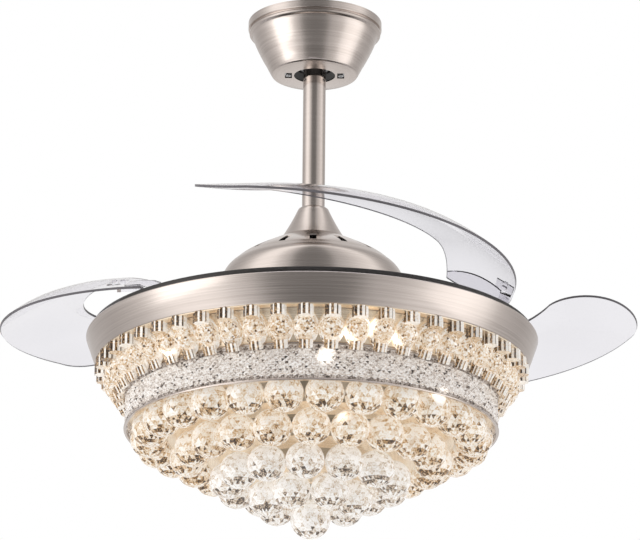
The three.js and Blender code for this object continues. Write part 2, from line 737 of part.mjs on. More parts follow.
const hubBore = acrossFlats(bearingRadius + seatGap, smallSides);
const shellInner = rotorRadius - rotorWall;
const lowerShell = [
  [shaftRadius + 2 * rotorWall, rotorBottom], [rotorRadius, rotorBottom], [rotorRadius, rotorSplit],
  [shellInner, rotorSplit], [shellInner, rotorBottom + rotorPlate], [rotorHubRadius, rotorBottom + rotorPlate],
  [rotorHubRadius, rotorBottom + rotorPlate + rotorHubDepth],
  [hubBore, rotorBottom + rotorPlate + rotorHubDepth],
  [hubBore, rotorBottom + rotorPlate], [shaftRadius + 2 * rotorWall, rotorBottom + rotorPlate],
];
piece("rotor_shell_lower", turned(lowerShell, motorSides), blackPaint, rotor);
const upperShell = [
  [rotorRadius, rotorSplit + seatGap], [rotorRadius, rotorShoulder], [rotorCrownRadius, rotorTop],
  [shaftRadius + 2 * rotorWall, rotorTop], [shaftRadius + 2 * rotorWall, rotorTop - rotorPlate],
  [hubBore, rotorTop - rotorPlate], [hubBore, rotorTop - rotorPlate - rotorHubDepth],
  [rotorHubRadius, rotorTop - rotorPlate - rotorHubDepth], [rotorHubRadius, rotorTop - rotorPlate],
  [rotorCrownRadius - rotorWall, rotorTop - rotorPlate], [shellInner, rotorShoulder - rotorWall / 2],
  [shellInner, rotorSplit + seatGap],
];
piece("rotor_shell_upper", turned(upperShell, motorSides), blackPaint, rotor);
const magnetTop = (statorTop + statorBottom) / 2 + magnetHalfHeight;
const magnetBottom = magnetTop - 2 * magnetHalfHeight;
const magnets = turnedRing(magnetInner, shellInner - seatGap, magnetBottom, magnetTop, motorSides);
piece("magnet_ring", magnets, magnetGrey, rotor);

function bearing(bottom) {
  const inner = acrossFlats(shaftRadius + runningGap, smallSides);
  const top = bottom + bearingWidth;
  const groove = (bearingRadius + inner) / 2;
  return turned([
    [inner, bottom], [bearingRadius, bottom], [bearingRadius, top],
    [groove, top - bearingGroove], [inner, top],
  ], smallSides);
}
piece("lower_bearing", bearing(rotorBottom + rotorPlate + seatGap), zincSteel, rotor);
piece("upper_bearing", bearing(rotorTop - rotorPlate - seatGap - bearingWidth), zincSteel, rotor);

// Nickel ring: a rolled tapered band with a flange that carries the light pan and the crystals
const ringFloor = -ringHeight;
const nickelRing = [
  [ringTopRadius - ringWall, 0], [ringTopRadius, 0], [ringBottomRadius, ringFloor],
  [ringBottomRadius - ringFlangeReach, ringFloor], [ringBottomRadius - ringFlangeReach, ringFloor + ringWall],
  [ringBottomRadius - ringWall, ringFloor + ringWall],
];
piece("nickel_ring", turned(nickelRing, ringSides), nickel, head);

const panBottom = ringFloor + ringWall + seatGap;
const panRadius = ringBottomRadius - ringWall - 2 * seatGap;
const lightPan = [
  [shaftRadius + seatGap, panBottom], [panRadius, panBottom], [panRadius, panBottom + panUpstand],
  [panRadius - panWall, panBottom + panUpstand], [panRadius - panWall, panBottom + panWall],
  [shaftRadius + seatGap, panBottom + panWall],
];
piece("light_pan", turned(lightPan, traySides), zincSteel, head);

const nutTop = panBottom - seatGap;
const nut = solid(bar(nutRadius, nutTop - nutHeight, nutTop, hexSides));
const nutBottom = nutTop - nutHeight;
const nutThread = solid(bar(shaftRadius + seatGap, nutBottom - overrun, nutTop + overrun, smallSides));
piece("pan_nut", nut.subtract(nutThread), zincSteel, head);
piece("led_driver", turned([
  [driverInner, nutTop], [driverOuter, nutTop], [driverOuter - driverDraft, nutTop - driverHeight],
  [driverInner + driverDraft, nutTop - driverHeight],
], motorSides), whitePlastic, head);

function ledBoard() {
  const bottom = nutTop - ledBoardThickness;
  const parts = [solid(turnedRing(ledBoardInner, ledBoardOuter, bottom, nutTop, traySides))];
  const place = ledBoardOuter - ledInset;
  const chipHeight = ledHeight + ledBoardThickness / 2;
  for (let i = 0; i < ledCount; i++) {
    const chip = new THREE.CylinderGeometry(ledRadius, ledRadius / 2, chipHeight, ledSides);
    const p = around(place, (full * i) / ledCount, bottom + ledBoardThickness / 4 - ledHeight / 2);
    parts.push(solid(chip.rotateX(Math.PI / 2).translate(p.x, p.y, p.z)));
  }
  return joined(parts);
}
piece("led_board", ledBoard(), whitePlastic, head);

// Blade deck: the black turning tray, with a rolled rim and a hole for each blade pivot
function bladeDeck() {
  const bottom = deckTop - deckThickness;
  const outline = [
    [deckHoleRadius, bottom], [deckRadius - deckRimWidth, bottom], [deckRadius, deckRimBottom],
    [deckRadius, deckRimTop], [deckRadius - deckRimWidth, deckTop], [deckHoleRadius, deckTop],
  ];
  let deck = solid(turned(outline, deckSides));
  for (let i = 0; i < bladeCount; i++) {
    const p = around(pivotRadius, deg(bladeStation) + (full * i) / bladeCount);
    const hole = acrossFlats(spigotRadius + runningGap, smallSides);
    deck = deck.subtract(solid(bar(hole, bottom - overrun, deckTop + overrun, smallSides, p.x, p.y)));
  }
  return deck;
}
piece("blade_deck", bladeDeck(), blackPaint, rotor);

// Involute teeth as [radius, angle] corners, for the given teeth of a gear
function toothCorners(teeth, places, toothed) {
  const pitchR = (gearModule * teeth) / 2;
  const baseR = pitchR * Math.cos(pressureAngle);
  const tipR = pitchR + gearModule * toothAddendumShare;
  const rootR = pitchR - gearModule * toothDedendumShare;
  const involute = (a) => Math.tan(a) - a;
  const half = (r) => {
    const own = Math.acos(Math.min(1, baseR / Math.max(r, baseR)));
    return Math.PI / 2 / teeth - toothBacklash / 2 / pitchR + involute(pressureAngle) - involute(own);
  };
  const radii = [rootR, pitchR, tipR];
  const corners = [];
  for (const place of places) {
    const middle = (full * place) / teeth;
    if (!toothed(place)) {
      corners.push([rootR, middle]);
      continue;
    }
    for (const r of radii) corners.push([r, middle - half(r)]);
    for (const r of [...radii].reverse()) corners.push([r, middle + half(r)]);
  }
  return corners;
}

function shapeOf(corners) {
  const outline = new THREE.Shape();
  corners.forEach(([radius, angle], i) => {
    const p = around(radius, angle);
    if (i) outline.lineTo(p.x, p.y);
    else outline.moveTo(p.x, p.y);
  });
  return outline.closePath();
}

// Ring that links the three blades: toothed only where a sector meets it
const syncRoot = (gearModule * ringTeeth) / 2 - gearModule * toothDedendumShare;
function syncRing() {
  const arc = ringTeeth / bladeCount;
  const places = [];
  const toothed = new Set();
  for (let k = 0; k < bladeCount; k++) {
    for (let i = -ringToothReach; i < ringToothReach; i++) {
      places.push(k * arc + i + 0.5);
      toothed.add(k * arc + i + 0.5);
    }
    const plainEnd = (k + 1) * arc - ringToothReach - 1;
    for (let at = k * arc + ringToothReach + 1; at < plainEnd; at += ringPlainStep) places.push(at);
  }
  const outline = shapeOf(toothCorners(ringTeeth, places, (place) => toothed.has(place)));
  outline.holes.push(new THREE.Path().absarc(0, 0, syncRoot - syncRingWidth, 0, full, true));
  const ring = new THREE.ExtrudeGeometry(outline, {
    depth: gearThickness, bevelEnabled: false, curveSegments: motorSides,
  });
  return ring.rotateZ(deg(bladeStation)).translate(0, 0, gearTop - gearThickness);
}
piece("sync_ring", syncRing(), acetal, rotor);

// Spools under the deck that the ring runs on
const ringTop = gearTop + seatGap;
const ringBottom = gearTop - gearThickness - seatGap;
const spoolTop = deckTop - deckThickness - seatGap;
const ringBore = (syncRoot - syncRingWidth) * Math.cos(Math.PI / (2 * motorSides));
const spoolPlace = ringBore - runningGap - spoolWaistRadius;
for (let i = 0; i < spoolCount; i++) {
  const outline = [
    [0, ringBottom - spoolFlange], [spoolFlangeRadius, ringBottom - spoolFlange],
    [spoolFlangeRadius, ringBottom], [spoolWaistRadius, ringBottom],
    [spoolWaistRadius, ringTop], [spoolFlangeRadius, ringTop],
    [spoolFlangeRadius, ringTop + spoolFlange], [spoolStudRadius, ringTop + spoolFlange],
    [spoolStudRadius, spoolTop], [0, spoolTop],
  ];
  const p = around(spoolPlace, deg(bladeStation) + (full * (i + 0.5)) / spoolCount);
  piece(`ring_spool_${i + 1}`, solid(turned(outline, pinSides).translate(p.x, p.y, 0)), acetal, rotor);
}

// The blade's middle surface in its folded pose, with the pivot at the front
function bladePoint(span, chord) {
  const angle = -deg(bladeRootAngle + bladeSweep * span);
  const radius = law(bladeInnerEdge, span) * (1 - chord) + law(bladeOuterEdge, span) * chord;
  const lift = law(bladeInnerLift, span) * (1 - chord) + law(bladeOuterLift, span) * chord;
  return around(radius, angle, lift + law(bladeCamber, span) * 4 * chord * (1 - chord));
}

// Rows of middle-surface points: the root, the swept part, then a rounded end drawn out along the sweep
function bladeRows() {
  const rows = [];
  const spans = [...rootSpanShares, bladePadShare + bladePadEdgeShare];
  for (let i = 2; i <= bladeSpanSteps; i++) spans.push(i / bladeSpanSteps);
  for (const span of spans) {
    const points = [];
    for (let j = 0; j <= bladeChordSteps; j++) points.push(bladePoint(span, j / bladeChordSteps));
    rows.push({ span, points });
  }
  const step = 1 / bladeSpanSteps;
  const onward = bladePoint(1, 0.5).sub(bladePoint(1 - step, 0.5)).normalize();
  for (let k = 1; k <= bladeEndSteps; k++) {
    const turn = (Math.PI / 2) * (k / bladeEndSteps);
    const points = [];
    for (let j = 0; j <= bladeChordSteps; j++) {
      const chord = 0.5 + (j / bladeChordSteps - 0.5) * Math.cos(turn);
      points.push(bladePoint(1, chord).addScaledVector(onward, bladeEndReach * Math.sin(turn)));
    }
    rows.push({ span: 1, points });
  }
  return rows;
}

const raised = (point, height) => point.clone().setZ(point.z + height);

function blade() {
  const rows = bladeRows();
  const lower = rows.map(({ points }) => points.map((p) => raised(p, -bladeThickness / 2)));
  const upper = rows.map(({ span, points }) => {
    const pad = span < bladePadShare ? bladePadThickness : 0;
    return points.map((p) => raised(p, bladeThickness / 2 + pad));
  });
  return slab(lower, upper);
}

// A strip over the blade's own root facets, from a height above its middle surface upwards
function rootStrip(spanShares, chordShares, base, thickness) {
  const rows = spanShares.map((span) => chordShares.map((chord) => bladePoint(span, chord)));
  const lift = (height) => rows.map((row) => row.map((p) => raised(p, height)));
  return slab(lift(base), lift(base + thickness));
}

// Blade arm: hub on the pivot, spigot through the deck, and the shelf that the blade's root lies on
function bladeArm() {
  const shelfTop = -bladeThickness / 2 - seatGap;
  const shelf = rootStrip(armSpanShares, armChordShares, shelfTop - armThickness, armThickness);
  const hub = bar(hubRadius, deckTop + hubLift, hubTop, smallSides, 0, -pivotRadius);
  const spigot = bar(spigotRadius, gearTop + seatGap, deckTop + hubLift + overrun, pinSides, 0, -pivotRadius);
  const boreCorner = acrossFlats(pivotPinRadius + runningGap, pinSides);
  const bore = bar(boreCorner, gearTop - overrun, hubTop + overrun, pinSides, 0, -pivotRadius);
  const headTop = hubTop + runningGap + pivotPinHeadHeight + headRoom;
  const headSpace = bar(pivotPinHead + headRoom, hubTop, headTop, pinSides, 0, -pivotRadius);
  return joined([solid(shelf), solid(hub), solid(spigot)]).subtract(solid(bore)).subtract(solid(headSpace));
}

// Clamp on the blade's root: a strip with two screw heads
function bladeClamp() {
  const base = bladeThickness / 2 + bladePadThickness + seatGap;
  const parts = [solid(rootStrip(clampSpanShares, clampChordShares, base, clampThickness))];
  const [root, end] = clampSpanShares.map((span) => bladePoint(span, clampScrewChordShare));
  const across = bladePoint(clampSpanShares[0], 1).sub(root);
  const normal = new THREE.Vector3().crossVectors(end.clone().sub(root), across).normalize();
  const lean = new THREE.Quaternion().setFromUnitVectors(new THREE.Vector3(0, 0, 1), normal);
  for (const share of clampScrewShares) {
    const p = root.clone().lerp(end, share);
    const screw = bar(clampScrewRadius, 0, clampThickness / 2 + clampScrewHeight, hexSides);
    screw.applyQuaternion(lean);
    parts.push(solid(screw.translate(p.x, p.y, p.z + base + clampThickness / 2)));
  }
  return joined(parts);
}

// Gear sector under the deck: its middle tooth meets the ring when the blade is as photographed
function bladeGear() {
  const places = [];
  for (let i = -sectorToothReach; i <= sectorToothReach; i++) places.push(i);
  const corners = toothCorners(sectorTeeth, places, () => true);
  const last = corners[corners.length - 1][1];
  const backSteps = 6;
  for (let i = 1; i < backSteps; i++) corners.push([hubRadius, last + ((full - 2 * last) * i) / backSteps]);
  const outline = shapeOf(corners);
  const boreCorner = acrossFlats(pivotPinRadius + runningGap, pinSides);
  outline.holes.push(new THREE.Path().absarc(0, 0, boreCorner, 0, full, true));
  const sector = new THREE.ExtrudeGeometry(outline, {
    depth: gearThickness, bevelEnabled: false, curveSegments: pinSides / 2,
  });
  sector.rotateZ(Math.PI - deg(bladeOpening)).translate(0, -pivotRadius, gearTop - gearThickness);
  return sector;
}

// Return spring: a round-wire coil about the pivot with two straight legs, as one unbroken tube
function springPath() {
  const points = [];
  const total = springCurls * springSteps;
  const place = (i) => {
    const angle = (full * i) / springSteps;
    const [x, y] = [springRadius * Math.cos(angle), springRadius * Math.sin(angle)];
    return new THREE.Vector3(x, y, (springPitch * i) / springSteps);
  };
  const leg = (i, way) => {
    const angle = (full * i) / springSteps;
    const along = new THREE.Vector3(-Math.sin(angle), Math.cos(angle), 0);
    return place(i).addScaledVector(along, way * springLeg);
  };
  points.push(leg(0, -1));
  for (let i = 0; i <= total; i++) points.push(place(i));
  points.push(leg(total, 1));
  return points;
}

function wireTube(points, radius, sides) {
  const positions = [];
  const faces = [];
  const up = new THREE.Vector3(0, 0, 1);
  points.forEach((p, i) => {
    const before = points[Math.max(i - 1, 0)];
    const after = points[Math.min(i + 1, points.length - 1)];
    const along = after.clone().sub(before).normalize();
    const across = new THREE.Vector3().crossVectors(along, up).normalize();
    const rise = new THREE.Vector3().crossVectors(across, along);
    for (let j = 0; j < sides; j++) {
      const angle = (full * j) / sides;
      const q = p.clone().addScaledVector(across, radius * Math.cos(angle));
      q.addScaledVector(rise, radius * Math.sin(angle));
      positions.push(q.x, q.y, q.z);
    }
  });
  for (let i = 0; i < points.length - 1; i++) {
    for (let j = 0; j < sides; j++) {
      const [a, b] = [i * sides + j, i * sides + ((j + 1) % sides)];
      faces.push(a, b + sides, b, a, a + sides, b + sides);
    }
  }
  const last = (points.length - 1) * sides;
  for (let j = 1; j < sides - 1; j++) {
    faces.push(0, j, j + 1);
    faces.push(last, last + j + 1, last + j);
  }
  const geometry = new THREE.BufferGeometry();
  geometry.setAttribute("position", new THREE.Float32BufferAttribute(positions, 3));
  geometry.setIndex(faces);
  return geometry;
}

function leastGap(points, wire) {
  const line = new THREE.CatmullRomCurve3(points, false, "centripetal");
  const samples = line.getPoints(points.length * 4);
  const skip = springSteps * 2;
  let least = Infinity;
  for (let i = 0; i < samples.length; i++) {
    for (let j = i + skip; j < samples.length; j++) least = Math.min(least, samples[i].distanceTo(samples[j]));
  }
  return least - wire;
}

const coil = springPath();
const coilGap = leastGap(coil, springWire);
console.log(`return spring: least gap to itself ${coilGap.toFixed(2)} mm`);

const springBottom = pivotPinBottom + pivotPinFlange + seatGap + springWire / 2;
for (let k = 0; k < bladeCount; k++) {
  const station = new THREE.Group();
  station.rotation.z = deg(bladeStation) + (full * k) / bladeCount;
  rotor.add(station);
  const number = k + 1;

  const pinShank = bar(pivotPinRadius, pivotPinBottom, hubTop + runningGap + pivotPinHeadHeight / 2, pinSides);
  const pinHead = bar(pivotPinHead, hubTop + runningGap, hubTop + runningGap + pivotPinHeadHeight, hexSides);
  const pinFlange = bar(pivotPinFlangeRadius, pivotPinBottom, pivotPinBottom + pivotPinFlange, smallSides);
  const postX = springRadius + springWire / 2 + runningGap + springPostRadius;
  const postTop = pivotPinBottom + pivotPinFlange + springPostHeight;
  const post = bar(springPostRadius, pivotPinBottom, postTop, hexSides, postX, -springLeg);
  const pin = [pinShank, pinHead, pinFlange, post].map((body) => solid(body.translate(0, -pivotRadius, 0)));
  piece(`pivot_pin_${number}`, joined(pin), zincSteel, station);

  const spring = wireTube(coil, springWire / 2, springSides).translate(0, -pivotRadius, springBottom);
  piece(`blade_spring_${number}`, solid(spring), zincSteel, station);

  const opening = new THREE.Group();
  opening.position.set(0, -pivotRadius, 0);
  opening.rotation.z = deg(bladeOpening);
  const folded = new THREE.Group();
  folded.position.set(0, pivotRadius, 0);
  opening.add(folded);
  station.add(opening);
  piece(`blade_${number}`, solid(blade()), bladePlastic, folded);
  piece(`blade_arm_${number}`, bladeArm(), blackPaint, folded);
  piece(`blade_gear_${number}`, solid(bladeGear()), acetal, folded);
  piece(`blade_clamp_${number}`, bladeClamp(), zincSteel, folded);
}

// Crystal carrier: a conical steel band between the ring's flange and the band below
const carrierSlope = (carrierBottomRadius - carrierTopRadius) / (carrierBottom - carrierTop);
const carrierRadius = (height) => carrierTopRadius + carrierSlope * (height - carrierTop);
const carrierLining = (height) => carrierRadius(height) - carrierWall;
const crystalCarrier = [
  [carrierTopRadius - carrierTopFlange, carrierTop], [carrierTopRadius, carrierTop],
  [carrierBottomRadius, carrierBottom], [carrierBottomRadius - carrierInnerFlange, carrierBottom],
  [carrierBottomRadius - carrierInnerFlange, carrierBottom + carrierWall],
  [carrierLining(carrierBottom + carrierWall), carrierBottom + carrierWall],
  [carrierLining(carrierTop - carrierWall), carrierTop - carrierWall],
  [carrierTopRadius - carrierTopFlange, carrierTop - carrierWall],
];
piece("crystal_carrier", turned(crystalCarrier, traySides), champagne, head);

// Jewel ring: a moulded band whose section swells into a crown and a faceted jewel at each place
function jewelRing() {
  const height = jewelTop - jewelBottom;
  const levels = jewelRowShares.map(({ down }) => jewelTop - down * height);
  const inner = (level) => carrierRadius(Math.max(level, carrierBottom)) + 2 * seatGap;
  const proud = jewelRowShares.map(({ out }, i) => inner(levels[i]) + jewelBackingWall + out * jewelReach);
  const positions = [];
  const rows = jewelRowShares.length + jewelLiningRows.length;
  for (let i = 0; i < jewelCount; i++) {
    const middle = (full * i) / jewelCount + jewelTurn;
    for (const side of [-1, 1, 0]) {
      jewelRowShares.forEach(({ wide }, j) => {
        const spread = side ? (side * wide * jewelWidth) / 2 / proud[j] : Math.PI / jewelCount;
        const radius = side ? proud[j] : inner(levels[j]) + jewelBackingWall;
        positions.push(...around(radius, middle + spread, levels[j]));
      });
      const lag = (full / jewelCount) * (side ? side * jewelPitchShare : 0.5);
      for (const level of jewelLiningRows) positions.push(...around(inner(level), middle + lag, level));
    }
  }
  return closedLoops(positions, rows);
}
piece("jewel_ring", jewelRing(), crystal, head);

// Patterned band: a moulded ring whose face stands in rows of lozenges, between two thin rims
function patternBand() {
  const positions = [];
  for (let i = 0; i < bandColumns; i++) {
    const angle = (full * i) / bandColumns;
    for (let j = 0; j <= bandRows; j++) {
      const proud = (i + j) % 2 === 0 && j > 0 && j < bandRows;
      const level = bandTop + ((bandBottom - bandTop) * j) / bandRows;
      positions.push(...around(bandOuterRadius + (proud ? bandRelief : 0), angle, level));
    }
    for (const level of [bandBottom, bandTop]) positions.push(...around(bandInnerRadius, angle, level));
  }
  return closedLoops(positions, bandRows + 3);
}
piece("pattern_band", solid(patternBand()), crystal, head);
const rimInner = bandInnerRadius + rimSetback;
const bandRim = (bottom) => turnedRing(rimInner, rimInner + rimDepth, bottom, bottom + rimHeight, rimSides);
piece("band_top_rim", bandRim(bandTop + seatGap), nickel, head);
piece("band_bottom_rim", bandRim(bandBottom - seatGap - rimHeight), nickel, head);

// A faceted crystal ball with a corner at the top, where it is cemented into its tray
const crystalBall = (radius) => new THREE.IcosahedronGeometry(radius, 0).rotateX(icosahedronLean);

// Outline of a tray: its floor, the step down to the next tray, and on the widest the wall up to the carrier
function trayOutline(tier, i) {
  const under = tier.level - trayWall;
  const outline = [];
  const flangeTop = carrierBottom - seatGap;
  if (i === 0) {
    outline.push([tier.outer - trayFlangeReach, flangeTop], [tier.outer + trayWall, flangeTop]);
    outline.push([tier.outer + trayWall, flangeTop - trayWall], [tier.outer, flangeTop - trayWall]);
  } else outline.push([tier.outer, tier.level]);
  outline.push([tier.outer, under]);
  if (tier.inner) {
    const step = tiers[i + 1].level + seatGap;
    outline.push([tier.inner + trayWall, under], [tier.inner + trayWall, step], [tier.inner, step]);
  } else outline.push([tier.inner, under]);
  outline.push([tier.inner, tier.level]);
  if (i === 0) {
    outline.push([tier.outer - trayWall, tier.level], [tier.outer - trayWall, flangeTop - trayWall]);
    outline.push([tier.outer - trayFlangeReach, flangeTop - trayWall]);
  }
  return outline;
}

// Crystal tiers: each stepped tray carries a ring of faceted balls
tiers.forEach((tier, i) => {
  const parts = [solid(turned(trayOutline(tier, i), traySides))];
  const centre = tier.level - trayWall + ballBite - ballCrystalRadius;
  for (let k = 0; k < tier.count; k++) {
    const ball = crystalBall(ballCrystalRadius).translate(0, -tier.ring, centre);
    parts.push(solid(ball.rotateZ((full * (k + tier.turn)) / tier.count)));
  }
  piece(tier.name, joined(parts), crystal, head);
});

// Bottom crystal on its stem, under a washer
function bottomCrystal() {
  const top = tiers[tiers.length - 1].level - trayWall - seatGap;
  const ball = new THREE.SphereGeometry(dropBallRadius, dropBallSides, dropBallSides - 2).rotateX(Math.PI / 2);
  const stemBottom = dropBallCentre + dropBallRadius - ballBite;
  const stem = bar(dropStemRadius, stemBottom, top - dropWasherHeight / 2, hexSides);
  const washer = bar(dropWasherRadius, top - dropWasherHeight, top, pinSides);
  return joined([ball.translate(0, 0, dropBallCentre), stem, washer].map(solid));
}
piece("bottom_crystal", bottomCrystal(), crystal, head);

export default fan;
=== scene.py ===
# %% [markdown]
# # A crystal ceiling fan with folding blades
# The fan hangs from a canopy on a short rod. A black deck turns under the motor dome and carries three clear
# blades that swing out when it spins. Below the nickel ring hang faceted bricks, a patterned band and four
# stepped rows of crystal balls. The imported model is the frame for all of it: each piece below takes its place
# and size from that model, in metres, and rides on one of its bodies.

# %% Load the frame
import json
import math
import random

import bmesh
import bpy
from mathutils import Matrix, Vector


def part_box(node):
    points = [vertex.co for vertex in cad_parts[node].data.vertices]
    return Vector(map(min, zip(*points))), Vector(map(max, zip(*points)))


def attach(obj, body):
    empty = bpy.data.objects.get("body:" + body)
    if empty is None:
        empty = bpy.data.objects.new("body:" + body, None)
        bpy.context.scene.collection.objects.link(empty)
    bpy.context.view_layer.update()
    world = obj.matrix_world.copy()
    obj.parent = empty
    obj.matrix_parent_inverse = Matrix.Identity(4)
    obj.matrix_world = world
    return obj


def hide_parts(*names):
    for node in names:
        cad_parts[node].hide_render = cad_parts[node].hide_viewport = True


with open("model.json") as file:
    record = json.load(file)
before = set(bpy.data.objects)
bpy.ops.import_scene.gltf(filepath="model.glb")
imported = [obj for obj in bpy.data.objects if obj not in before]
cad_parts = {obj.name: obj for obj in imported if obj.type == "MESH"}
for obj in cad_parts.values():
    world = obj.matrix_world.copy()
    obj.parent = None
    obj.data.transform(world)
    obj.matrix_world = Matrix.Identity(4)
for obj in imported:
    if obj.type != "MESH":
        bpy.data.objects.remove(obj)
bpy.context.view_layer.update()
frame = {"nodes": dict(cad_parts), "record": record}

nodes = frame["nodes"]
MM = 0.001
FULL_TURN = 2 * math.pi

# %% [markdown]
# ## Ways to shape a piece
# Nearly every part of this fan is turned metal or repeated glass, so a few helpers do most of the work. A
# turned piece can be a screw modifier on a profile, or a circle that is extruded and resized step by step along
# the outline. The circle is used here, because it follows any outline and leaves a closed skin.

# %% Work on one piece at a time
WELD = 1e-6


def clear_selection():
    """Back to object mode with nothing selected."""
    if bpy.context.object and bpy.context.object.mode != "OBJECT":
        bpy.ops.object.mode_set(mode="OBJECT")
    bpy.ops.object.select_all(action="DESELECT")


def only(piece):
    """Selects this piece alone."""
    clear_selection()
    piece.select_set(True)
    bpy.context.view_layer.objects.active = piece


def tidy_faces(piece):
    """Joins corners that share a place and turns all faces outwards."""
    only(piece)
    bpy.ops.object.mode_set(mode="EDIT")
    bpy.ops.mesh.select_all(action="SELECT")
    bpy.ops.mesh.remove_doubles(threshold=WELD)
    bpy.ops.mesh.normals_make_consistent(inside=False)
    bpy.ops.object.mode_set(mode="OBJECT")


def apply_modifier(piece, kind, **settings):
    """Adds a modifier with its settings and applies it at once."""
    only(piece)
    modifier = piece.modifiers.new(kind.title(), kind)
    for name, value in settings.items():
        setattr(modifier, name, value)
    bpy.ops.object.modifier_apply(modifier=modifier.name)


def soften(piece, degrees=35):
    """Shades smooth where faces meet at less than this angle, and keeps sharper edges crisp."""
    only(piece)
    bpy.ops.object.shade_smooth_by_angle(angle=math.radians(degrees))


print("helpers ready")

# %% Turn an outline about the fan's axis
def spun(name, outline, sides=144):
    """A circle at the outline's first (radius, height), extruded and resized from point to point and closed."""
    clear_selection()
    radius, height = outline[0]
    bpy.ops.mesh.primitive_circle_add(vertices=sides, radius=radius, location=(0, 0, height))
    piece = bpy.context.object
    piece.name = name
    bpy.ops.object.transform_apply(location=True)
    bpy.ops.object.mode_set(mode="EDIT")
    bpy.ops.mesh.select_all(action="SELECT")
    for next_radius, next_height in [*outline[1:], outline[0]]:
        bpy.ops.mesh.extrude_region_move(TRANSFORM_OT_translate={"value": (0, 0, next_height - height)})
        wider = next_radius / radius
        bpy.ops.transform.resize(value=(wider, wider, 1), center_override=(0, 0, next_height))
        radius, height = next_radius, next_height
    bpy.ops.object.mode_set(mode="OBJECT")
    tidy_faces(piece)
    return piece


def bend(start, pull, end, steps):
    """Points from start to end of a curve that is pulled towards a middle point."""
    found = []
    for step in range(steps + 1):
        share = step / steps
        rest = 1 - share
        found.append(tuple(rest * rest * a + 2 * rest * share * b + share * share * c
                           for a, b, c in zip(start, pull, end)))
    return found


def walled(outline, wall):
    """The outline, then back along its other face, a wall's thickness to the left of the way it runs."""
    points = [Vector(point) for point in outline]
    back = []
    for i, here in enumerate(points):
        runs = []
        if i > 0:
            runs.append((here - points[i - 1]).normalized())
        if i < len(points) - 1:
            runs.append((points[i + 1] - here).normalized())
        sides = [Vector((-run.y, run.x)) for run in runs]
        middle = sum(sides, Vector((0, 0))).normalized()
        back.append(tuple(here + middle * (wall / max(middle.dot(sides[0]), 0.5))))
    return [tuple(point) for point in points] + back[::-1]


def cut_away(piece, cutter):
    """Takes the cutter's shape out of the piece and throws the cutter away."""
    apply_modifier(piece, "BOOLEAN", operation="DIFFERENCE", object=cutter, solver="EXACT")
    bpy.data.objects.remove(cutter)


print("turning helpers ready")

# %% [markdown]
# ## Finishes
# A finish here is a Principled shader with a few texture nodes in front of it. The nodes read Object
# coordinates, which stay on the piece when it moves, and every piece keeps its place in its mesh, so that one
# brushed or cast pattern runs over all the pieces that share it. A number that is the same all over is typed
# into the shader.

# %% Build a finish from nodes
def new_finish(name, **numbers):
    """A finish whose shader starts with these numbers, named as its sockets are."""
    finish = bpy.data.materials.new(name)
    finish.use_nodes = True
    shader = finish.node_tree.nodes["Principled BSDF"]
    for socket, value in numbers.items():
        shader.inputs[socket.capitalize()].default_value = value
    return finish


def shader_of(finish):
    """The finish's Principled shader."""
    return finish.node_tree.nodes["Principled BSDF"]


def add_node(owner, kind, inputs=None, **settings):
    """A node with its settings, and its inputs either joined to another node's output or typed in."""
    node = owner.node_tree.nodes.new("ShaderNode" + kind)
    for name, value in settings.items():
        setattr(node, name, value)
    for socket, source in (inputs or {}).items():
        if isinstance(source, bpy.types.NodeSocket):
            owner.node_tree.links.new(source, node.inputs[socket])
        else:
            node.inputs[socket].default_value = source
    return node


def math_node(owner, operation, first, second):
    """The result of a sum on two values, each a number or another node's output."""
    return add_node(owner, "Math", {0: first, 1: second}, operation=operation).outputs[0]


def join(finish, source, socket):
    """Leads a value or colour into the finish's shader."""
    finish.node_tree.links.new(source, shader_of(finish).inputs[socket])


def ramp(owner, source, stops):
    """A colour ramp: stops are (place, colour) pairs."""
    node = add_node(owner, "ValToRGB", {"Fac": source})
    marks = node.color_ramp.elements
    while len(marks) < len(stops):
        marks.new(0.5)
    for mark, (place, colour) in zip(marks, stops):
        mark.position = place
        mark.color = (*colour, 1)
    return node.outputs["Color"]


def spread(finish, source, low, high):
    """The source's 0 to 1 stretched to run from low to high."""
    return add_node(finish, "MapRange", {"Value": source, "To Min": low, "To Max": high}).outputs["Result"]


def noise(finish, place, scale, detail):
    """Soft random tones from 0 to 1."""
    return add_node(finish, "TexNoise", {"Vector": place, "Scale": scale, "Detail": detail}).outputs["Fac"]


print("finish helpers ready")

# %% [markdown]
# ## Brushed nickel
# The canopy, rod, cover, dome and ring are plated steel, brushed while they turned, so that fine lines run
# round the axis and stretch every reflection up and down. The lines could be an image, but a noise that is
# squeezed across the brushing and stretched along it gives the same streaks at any size. Height less radius
# grows along each of these outlines, so it counts the lines across all of them.

# %% Brushed nickel
LINES_PER_METRE = 1300
STREAKS_PER_METRE = 7
BUMP_DEPTH = 0.2 * MM


